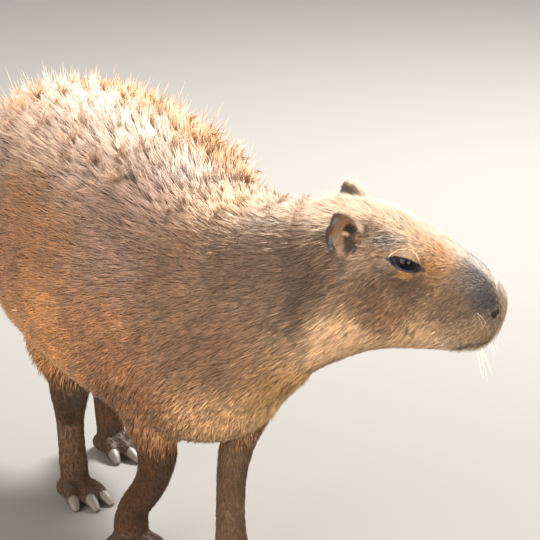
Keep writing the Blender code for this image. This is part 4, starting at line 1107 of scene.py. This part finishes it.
    # light and dark change at random from clump to clump, and along each tuft the root end is darker: painted shade
    # deep in the coat
    calm = 1 - 0.5 * ease(tone.mean(1), 0.25, 0.55) * (1 - onHead)
    clumpShade = np.clip(1 + calm * byPlace("clumpSpread") * draw.normal(size=count)[leader], 0.35, 1.9)
    ownShade = np.clip(1 + calm * byPlace("ownSpread") * draw.normal(size=count), 0.45, 1.7) * clumpShade
    pale = draw.random(count) < 0.16
    ownShade = np.where(pale, ownShade * 1.35, ownShade)
    tipTone = tone * ownShade[:, None]
    dark = (draw.random(count) < 0.06 + 0.08 * onHead) & (stands < 0.3)
    tipTone = np.where(dark[:, None], tipTone * 0.60, tipTone)
    # standing tufts on the far side get tan tips: painted backlight shining through them
    tipTone = tipTone + (linear(tones["amber"]) - tipTone) * (0.5 * bold * ease(roots[:, 1], -0.01, 0.04))[:, None]
    flecked = grizzle(roots)
    fleck = draw.random(count) < grizzleForm["share"]
    mixed = np.where(fleck[:, None], linear(tones["frost"]) * 0.8, linear(tones["slate"]))
    tipTone = tipTone + (mixed - tipTone) * (0.92 * flecked)[:, None]
    # pale hair lets the light through, so its roots aren't as dark
    through = coatForm["paleRoot"] * ease(tone.mean(1), 0.25, 0.55)
    midTone = tone * ((coatForm["midShade"] + 0.14 * through) * clumpShade)[:, None]
    rootTone = tone * (coatForm["rootShade"] + through)[:, None] * np.array((0.92, 0.96, 1.0))
    headRoot = tipTone * (coatForm["headRoot"] + through)[:, None]
    tipTone, midTone, rootTone, headRoot = (keepHue(shade) for shade in (tipTone, midTone, rootTone, headRoot))
    done = 0
    for name in sorted(set(names)):
        own = names == name
        kind = partKind(name)
        long = kind == "trunk"
        line = keepInside(np.stack([base[own], middle[own], tip[own]], 1))
        centres = line[:, :2] if long else line[:, :1]
        widths = width[own][:, None] * (np.array((0.9, 0.8)) if long else np.array((1.0,)))
        shades = [rootTone[own], midTone[own], tipTone[own]] if long else [headRoot[own], tipTone[own]]
        lift2 = np.cross(unit(tip[own] - base[own]), side[own])
        spikes(name, centres, side[own], lift2, widths, line[:, 2], np.stack(shades, 1),
               chartOf(name, roots[own]), material)
        triangles = own.sum() * (10 if long else 4)
        done += triangles
        print(name, own.sum(), "tufts", triangles, "triangles")
    print("coat grown:", done, "triangles")


def curl(roots, ways, bend, length, rings, late=1.0):
    # centre points of hairs that start along ways and turn by bend over their length
    steps = np.linspace(0, 1, rings + 1)
    centres = [roots]
    for before, after in zip(steps, steps[1:]):
        way = unit(ways + bend * ((before + after) / 2) ** late)
        centres.append(centres[-1] + way * (length * (after - before))[:, None])
    return np.stack(centres, 1)


# Guard hairs stand in small clumps, each with a curl of its own
bristleForm = {"seed": 5, "clumps": 1150, "hairs": 6, "rings": 4, "length": (0.028, 0.043), "width": 0.0019,
               "curl": (-1.2, 1.7), "forward": (-3.2, 1.0), "late": 1.3, "lift": (46, 80), "spread": 0.0034, "gather": 0.88,
               "nape": 0.60}


def growBristles(skin, material):
    draw = np.random.default_rng(bristleForm["seed"])
    spots, normals = vertArray(skin.data), vertArray(skin.data, "normal")
    onNape = ease(spots[:, 0], 0.14, 0.30)
    share = ease(spots[:, 2], 0.480, 0.525) * ease(toHead(spots)[:, 0], -0.045, -0.075) * ease(normals[:, 2] - 0.3 * onNape, 0.2, 0.6)
    share = share + 0.6 * ease(-spots[:, 0], 0.36, 0.41) * ease(spots[:, 2], 0.38, 0.44)
    picks = draw.choice(len(spots), bristleForm["clumps"], p=share / share.sum())
    short = 1 - (1 - bristleForm["nape"]) * onNape[picks]
    count = len(picks)
    lie = inBlocks(groom, spots[picks])[0]
    over = normals[picks]
    lie = unit(lie - over * (lie * over).sum(1, keepdims=True))
    lie = unit(lie + np.cross(over, lie) * draw.normal(0, 0.30, count)[:, None])
    side = np.cross(over, lie)
    rise = np.radians(draw.uniform(*bristleForm["lift"], count)) * (0.55 + 0.45 * short)
    ways = lie * np.cos(rise)[:, None] + over * np.sin(rise)[:, None]
    bend = draw.normal(*bristleForm["curl"], (count, 1)) * side
    bend = bend + draw.uniform(*bristleForm["forward"], (count, 1)) * lie
    long = draw.uniform(*bristleForm["length"], count) * short
    line = curl(spots[picks] - ways * 2 * coatForm["sunk"], ways, bend, long, bristleForm["rings"], bristleForm["late"])
    # the clump's hairs start apart and gather towards its tip
    own = np.repeat(np.arange(count), bristleForm["hairs"])
    total = len(own)
    apart = draw.normal(0, bristleForm["spread"], (total, 2)) * short[own, None]
    offset = side[own] * apart[:, :1] + lie[own] * apart[:, 1:]
    along = np.linspace(0, 1, bristleForm["rings"] + 1)[None, :, None]
    reach = draw.uniform(0.62, 1.08, total)[:, None, None]
    line = line[own][:, :1] + (line[own] - line[own][:, :1]) * reach
    line = line + offset[:, None] * (1 - bristleForm["gather"] * along)
    line = keepInside(line)
    tone = markings(line[:, 0]) * np.clip(draw.normal(1, 0.18, total), 0.5, 1.5)[:, None]
    # guard hairs are darker towards the root, painted shade in the coat, and turn tan towards the tip, most on the far
    # side: painted backlight through the hair
    backlitTone = linear(tones["amber"])
    fade = np.linspace(0, 1, bristleForm["rings"] + 1)
    shades = tone[:, None] * (0.50 + 0.50 * fade)[None, :, None]
    farSideGlow = ease(line[:, 0, 1] + 0.10 * ease(-line[:, 0, 0], 0.05, 0.25), -0.025, 0.025)
    onBack = (1 - 0.8 * onNape[picks][own]) * (0.25 + 0.75 * farSideGlow)
    shades = shades + (backlitTone - shades) * (0.90 * fade[None] * onBack[:, None])[..., None]
    widths = bristleForm["width"] * np.linspace(1, 0.60, bristleForm["rings"])[None] * (0.6 + 0.4 * short[own, None])
    spikes("crestBristles", line[:, :-1], side[own], unit(np.cross(ways, side))[own], widths, line[:, -1],
           keepHue(shades), chartOf("coatLoin", line[:, 0]), material)
    print("guard hairs set:", total)


# Whiskers by place: ahead, across, up, how many a side, length, then the way ahead, outward and up
whiskerForm = {"seed": 4, "rings": 8, "width": 0.00058, "spread": 0.005, "droop": 1.1, "rows": {
    "chin": (0.168, 0.020, 0.384, 9, 0.042, (0.35, 0.2, -0.9)),
    "lip": (0.180, 0.022, 0.394, 6, 0.026, (0.3, 0.3, -0.8)),
    "snout": (0.164, 0.044, 0.432, 2, 0.026, (0.5, 0.9, -0.2)),
}}
lashForm = {"strands": 3, "width": 0.00062, "wave": (0.0005, 900.0), "lift": 0.0016, "spread": 0.0005,
            "spans": ((-0.0225, -0.0040), (-0.0030, 0.0040), (0.0025, 0.0150))}


def growLashes(skin, material):
    # fine pale strands along the fold over each upper lid
    draw = np.random.default_rng(whiskerForm["seed"])
    spots = vertArray(skin.data)
    rings, lines = whiskerForm["rings"], []
    for side in (-1, 1):
        along, up, out = inEye(spots, side)
        near = np.flatnonzero((np.hypot(along, up) < 0.035) & (out > 0))
        tree = kdtree.KDTree(len(near))
        for place, index in enumerate(near):
            tree.insert((along[index], up[index], 0), place)
        tree.balance()
        turn, slope = math.radians(eyeForm["turn"]), math.radians(eyeForm["slope"])
        way = np.array((math.sin(turn), side * math.cos(turn), 0))
        ahead = np.array((math.cos(turn), -side * math.sin(turn), 0))
        axes = (ahead * math.cos(slope) - np.array((0, 0, math.sin(slope))),
                ahead * math.sin(slope) + np.array((0, 0, math.cos(slope))), way)
        for start, end in lashForm["spans"]:
            for _ in range(lashForm["strands"]):
                steps = np.linspace(start, end + draw.normal(0, 0.0012), rings + 1)
                high, fast = lashForm["wave"]
                rises = lidEdges(steps)[2] + draw.normal(0, lashForm["spread"]) + high * np.sin(fast * steps + 1)
                depths = [out[near[tree.find((a, u, 0))[1]]] + lashForm["lift"] for a, u in zip(steps, rises)]
                local = sum(np.outer(values, axis) for values, axis in zip((steps, rises, depths), axes))
                lines.append(fromHead(local + np.array(onSide(eyeForm["centre"], side))))
    line = np.array(lines)
    over = unit(np.array([headTurn @ (0, 1, 0) * (-1 if toHead(strand[:1])[0, 1] < 0 else 1) for strand in line]))
    side = unit(np.cross(over, line[:, -1] - line[:, 0]))
    widths = lashForm["width"] * np.linspace(1, 0.5, rings)[None].repeat(len(line), 0)
    shades = np.zeros((len(line), rings + 1, 3)) + linear(tones["lidLine"])
    spikes("lidStrands", line[:, :-1], side, over, widths, line[:, -1], shades, chartOf("coatFace", line[:, 0]),
           material)
    print("lid strands set:", len(line))


def growWhiskers(skin, material):
    draw = np.random.default_rng(whiskerForm["seed"])
    spots, normals = vertArray(skin.data), vertArray(skin.data, "normal")
    tree = kdtree.KDTree(len(spots))
    for index, spot in enumerate(spots):
        tree.insert(spot, index)
    tree.balance()
    picks, ways, long = [], [], []
    for ahead, across, up, count, length, way in whiskerForm["rows"].values():
        for side in (-1, 1):
            for _ in range(count):
                stray = Vector(draw.normal(0, whiskerForm["spread"], 3))
                picks.append(tree.find(headPlace @ (onSide((ahead, across, up), side) + stray))[1])
                ways.append(headPlace.to_3x3() @ (onSide(way, side) + Vector(draw.normal(0, 0.2, 3))))
                long.append(length * draw.uniform(0.6, 1.15))
    roots, over, ways, long = spots[picks], normals[picks], unit(np.array(ways)), np.array(long)
    ways = unit(ways + over * 0.45)
    side = unit(np.cross(over, ways))
    bend = np.array((0, 0, -whiskerForm["droop"])) + draw.normal(0, 0.35, ways.shape)
    line = keepInside(curl(roots - ways * 0.002, ways, bend, long, whiskerForm["rings"]))
    widths = whiskerForm["width"] * np.linspace(1, 0.35, whiskerForm["rings"])[None].repeat(len(roots), 0)
    shades = np.zeros((len(roots), whiskerForm["rings"] + 1, 3)) + linear(tones["whisker"])
    spikes("whiskers", line[:, :-1], side, unit(np.cross(ways, side)), widths, line[:, -1], shades,
           chartOf("coatFace", roots), material)
    print("whiskers set:", len(roots))


def newMaterial(name):
    material = bpy.data.materials.new(name)
    material.use_nodes = True
    nodes, links = material.node_tree.nodes, material.node_tree.links
    return material, nodes, links, nodes["Principled BSDF"]


def noiseNode(nodes, links, source, scale, detail=3):
    node = nodes.new("ShaderNodeTexNoise")
    node.inputs["Scale"].default_value = scale
    node.inputs["Detail"].default_value = detail
    links.new(source, node.inputs["Vector"])
    return node.outputs["Fac"]


def shadeBy(nodes, links, colour, amount, low, high):
    # multiplies a colour by a share that the pattern drives from low to high
    ramp = nodes.new("ShaderNodeMapRange")
    ramp.inputs["To Min"].default_value = low
    ramp.inputs["To Max"].default_value = high
    links.new(amount, ramp.inputs["Value"])
    scale = nodes.new("ShaderNodeVectorMath")
    scale.operation = "SCALE"
    links.new(colour, scale.inputs[0])
    links.new(ramp.outputs["Result"], scale.inputs["Scale"])
    return scale.outputs["Vector"]


def furMaterial():
    material, nodes, links, shader = newMaterial("bristlyCoat")
    tone = nodes.new("ShaderNodeAttribute")
    tone.attribute_name = "coatTone"
    place = nodes.new("ShaderNodeTexCoord").outputs["Object"]
    grain = noiseNode(nodes, links, place, 900)
    links.new(shadeBy(nodes, links, tone.outputs["Color"], grain, 0.80, 1.20), shader.inputs["Base Color"])
    shader.inputs["Roughness"].default_value = 0.52
    shader.inputs["Specular IOR Level"].default_value = 0.18
    shader.inputs["Sheen Weight"].default_value = 0.08
    shader.inputs["Sheen Roughness"].default_value = 0.4
    shader.inputs["Sheen Tint"].default_value = (1.0, 0.88, 0.74, 1)
    return material


def skinMaterial():
    material, nodes, links, shader = newMaterial("hide")
    tone = nodes.new("ShaderNodeAttribute")
    tone.attribute_name = "coatTone"
    place = nodes.new("ShaderNodeTexCoord").outputs["Object"]
    pores = noiseNode(nodes, links, place, 1400, 4)
    folds = noiseNode(nodes, links, place, 260, 3)
    colour = shadeBy(nodes, links, tone.outputs["Color"], pores, 0.75, 1.25)
    links.new(shadeBy(nodes, links, colour, folds, 0.88, 1.12), shader.inputs["Base Color"])
    height = nodes.new("ShaderNodeMath")
    height.operation = "MULTIPLY_ADD"
    links.new(folds, height.inputs[0])
    height.inputs[1].default_value = 2.0
    links.new(pores, height.inputs[2])
    bump = nodes.new("ShaderNodeBump")
    bump.inputs["Strength"].default_value = 0.5
    bump.inputs["Distance"].default_value = 0.0006
    links.new(height.outputs["Value"], bump.inputs["Height"])
    links.new(bump.outputs["Normal"], shader.inputs["Normal"])
    shader.inputs["Roughness"].default_value = 0.6
    shader.inputs["Specular IOR Level"].default_value = 0.25
    return material


def dressSkin(skin):
    mesh = skin.data
    tone = markings(vertArray(mesh))
    spots = vertArray(mesh)
    lids = np.maximum(insideLids(spots, -1), insideLids(spots, 1))
    local = toHead(spots)
    nose = ease(local[:, 0], 0.180, 0.190) * ease(np.abs(local[:, 1]), 0.030, 0.018)
    bare = np.maximum.reduce([ease(lids, -0.004, -0.001), earShare(spots), nose, 1 - ease(spots[:, 2], 0.004, 0.02)])
    # where hair grows, the skin's tone is darkened to about half: painted shade under the coat
    shade = 0.52 + 0.48 * bare
    colours = np.concatenate([tone * shade[:, None], np.ones((len(tone), 1))], 1)
    attribute = mesh.color_attributes.new("coatTone", "FLOAT_COLOR", "POINT")
    attribute.data.foreach_set("color", colours.ravel())
    mesh.polygons.foreach_set("use_smooth", np.ones(len(mesh.polygons), bool))
    mesh.materials.clear()
    mesh.materials.append(skinMaterial())
    mesh.transform(Matrix.Translation(rowShift))
    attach(skin, "root")
    flesh = [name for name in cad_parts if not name.startswith("eye")]
    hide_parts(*flesh)


coatHair = furMaterial()
growCoat(skin, coatHair)
growBristles(skin, coatHair)
growWhiskers(skin, coatHair)
growLashes(skin, coatHair)
dressSkin(skin)


def eyeMaterial(side):
    material, nodes, links, shader = newMaterial("eyeLeft" if side > 0 else "eyeRight")
    coordinate = nodes.new("ShaderNodeTexCoord").outputs["Object"]
    middle = headPlace @ onSide(eyeForm["centre"], side) + rowShift
    turn = math.radians(eyeForm["turn"])
    out = headPlace.to_3x3() @ Vector((math.sin(turn), side * math.cos(turn), 0.0))
    offset = nodes.new("ShaderNodeVectorMath")
    offset.operation = "SUBTRACT"
    links.new(coordinate, offset.inputs[0])
    offset.inputs[1].default_value = middle
    facing = nodes.new("ShaderNodeVectorMath")
    facing.operation = "DOT_PRODUCT"
    links.new(offset.outputs["Vector"], facing.inputs[0])
    facing.inputs[1].default_value = out
    ramp = nodes.new("ShaderNodeValToRGB")
    stops = ((0.0, (0.010, 0.009, 0.010)), (0.48, (0.014, 0.015, 0.024)), (0.62, (0.012, 0.017, 0.040)),
             (0.70, (0.014, 0.010, 0.006)), (0.86, (0.007, 0.006, 0.005)), (0.90, (0.002, 0.002, 0.003)))
    while len(ramp.color_ramp.elements) < len(stops):
        ramp.color_ramp.elements.new(0.5)
    for element, (spot, colour) in zip(ramp.color_ramp.elements, stops):
        element.position = spot
        element.color = (*colour, 1)
    share = nodes.new("ShaderNodeMath")
    share.operation = "DIVIDE"
    links.new(facing.outputs["Value"], share.inputs[0])
    share.inputs[1].default_value = eyeForm["radius"]
    links.new(share.outputs["Value"], ramp.inputs["Fac"])
    rays = noiseNode(nodes, links, offset.outputs["Vector"], 700)
    links.new(shadeBy(nodes, links, ramp.outputs["Color"], rays, 0.6, 1.4), shader.inputs["Base Color"])
    shader.inputs["Roughness"].default_value = 0.25
    shader.inputs["Specular IOR Level"].default_value = 0.02
    shader.inputs["Coat Weight"].default_value = 0.24
    shader.inputs["Coat Roughness"].default_value = 0.09
    return material


def makeEye(side):
    bm = bmesh.new()
    bmesh.ops.create_uvsphere(bm, u_segments=64, v_segments=40, radius=eyeForm["radius"])
    for vert in bm.verts:  # the clear front of the eye stands a little proud
        away = math.hypot(vert.co.x, vert.co.y) / eyeForm["radius"]
        if vert.co.z > 0:
            vert.co.z += 0.0009 * math.exp(-((away / 0.5) ** 4))
    turn = math.radians(eyeForm["turn"])
    out = Vector((math.sin(turn), side * math.cos(turn), 0))
    spin = out.to_track_quat("Z", "Y").to_matrix().to_4x4()
    place = Matrix.Translation(rowShift) @ headPlace @ Matrix.Translation(onSide(eyeForm["centre"], side)) @ spin
    bmesh.ops.transform(bm, matrix=place, verts=bm.verts)
    eye = newPiece("eyeBallLeft" if side > 0 else "eyeBallRight", bm)
    for face in eye.data.polygons:
        face.use_smooth = True
    eye.data.materials.append(eyeMaterial(side))
    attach(eye, "root")
    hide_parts("eye_left" if side > 0 else "eye_right")


for side in (-1, 1):
    makeEye(side)
print("eyes set in")


def clawMaterial():
    material, nodes, links, shader = newMaterial("clawHorn")
    place = nodes.new("ShaderNodeTexCoord").outputs["Object"]
    grain = noiseNode(nodes, links, place, 500, 4)
    ramp = nodes.new("ShaderNodeValToRGB")
    ramp.color_ramp.elements[0].color = (0.045, 0.038, 0.034, 1)
    ramp.color_ramp.elements[1].color = (0.180, 0.152, 0.130, 1)
    links.new(grain, ramp.inputs["Fac"])
    links.new(ramp.outputs["Color"], shader.inputs["Base Color"])
    bump = nodes.new("ShaderNodeBump")
    bump.inputs["Strength"].default_value = 0.4
    bump.inputs["Distance"].default_value = 0.0003
    links.new(grain, bump.inputs["Height"])
    links.new(bump.outputs["Normal"], shader.inputs["Normal"])
    shader.inputs["Roughness"].default_value = 0.52
    return material


def makeClaws(material):
    for leg in feet:
        bm = bmesh.new()
        for place, length in toePlaces(leg):
            rows = [(s * length, 0, -drop, tall, wide) for s, drop, tall, wide in footForm["claw"]]
            limb(bm, rows, place=place)
        for vert in bm.verts:
            vert.co.z = max(vert.co.z, skinForm["floor"])
        bmesh.ops.transform(bm, matrix=Matrix.Translation(rowShift), verts=bm.verts)
        claws = newPiece("claws" + leg[0].upper() + leg[1:].replace("leg", "foot"), bm)
        for face in claws.data.polygons:
            face.use_smooth = True
        claws.data.materials.append(material)
        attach(claws, "root")


makeClaws(clawMaterial())
print("claws set on")

stageForm = {"floorSize": 40, "tone": (0.17, 0.163, 0.152)}
cameraForm = {"azimuth": 64.8, "elevation": 16.9, "distance": 3.73, "lens": 186.7,
              "fromEye": (-0.4626, 0.0402, -0.1465)}
lightForm = {"sky": 0.90, "skyTone": (1.0, 0.965, 0.92),
             "keyWay": (-0.56, 0.76, 1.00), "keyDistance": 3.4, "keySize": 1.0, "keyPower": 450,
             "keyTone": (1.0, 0.98, 0.95),
             "fillWay": (0.42, -0.90, 0.25), "fillDistance": 4.0, "fillSize": 3.0, "fillPower": 265,
             "fillTone": (1.0, 0.915, 0.82),
             "bounceWay": (0.98, 0.02, 0.02), "bounceDistance": 3.0, "bounceSize": 1.6, "bouncePower": 100,
             "bounceTone": (1.0, 0.86, 0.66)}


def setStage():
    bm = bmesh.new()
    bmesh.ops.create_grid(bm, x_segments=8, y_segments=8, size=stageForm["floorSize"] / 2)
    floor = newPiece("studioFloor", bm)
    if floor.data.polygons[0].normal.z < 0:
        floor.data.flip_normals()
    material, nodes, links, shader = newMaterial("paleFloor")
    shader.inputs["Base Color"].default_value = (*stageForm["tone"], 1)
    shader.inputs["Roughness"].default_value = 0.9
    floor.data.materials.append(material)


def addLight(name, way, distance, size, power, target, tint):
    lamp = bpy.data.lights.new(name, "AREA")
    lamp.size, lamp.energy, lamp.color = size, power, tint
    light = bpy.data.objects.new(name, lamp)
    bpy.context.scene.collection.objects.link(light)
    way = Vector(way).normalized()
    light.location = target + way * distance
    light.rotation_euler = way.to_track_quat("Z", "Y").to_euler()


def setView():
    scene = bpy.context.scene
    low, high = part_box("eye_right")
    target = (low + high) / 2 + Vector(cameraForm["fromEye"])
    turn, rise = math.radians(cameraForm["azimuth"]), math.radians(cameraForm["elevation"])
    back = Vector((math.sin(turn) * math.cos(rise), -math.cos(turn) * math.cos(rise), math.sin(rise)))
    lens = bpy.data.cameras.new("photoCamera")
    lens.lens, lens.sensor_width, lens.clip_end = cameraForm["lens"], 36, 100
    camera = bpy.data.objects.new("photoCamera", lens)
    scene.collection.objects.link(camera)
    camera.location = target + back * cameraForm["distance"]
    camera.rotation_euler = back.to_track_quat("Z", "Y").to_euler()
    scene.camera = camera
    for name in ("key", "fill", "bounce"):
        way, distance, size, power, tone = (lightForm[name + word] for word in ("Way", "Distance", "Size", "Power", "Tone"))
        addLight("soft" + name.capitalize(), way, distance, size, power, target, tone)
    world = bpy.data.worlds.new("softSky")
    world.use_nodes = True
    world.node_tree.nodes["Background"].inputs["Color"].default_value = (*lightForm["skyTone"], 1)
    world.node_tree.nodes["Background"].inputs["Strength"].default_value = lightForm["sky"]
    scene.world = world
    # tones straight as set, since the film-like curve greys the backlit coat
    scene.view_settings.view_transform = "Standard"


setStage()
setView()
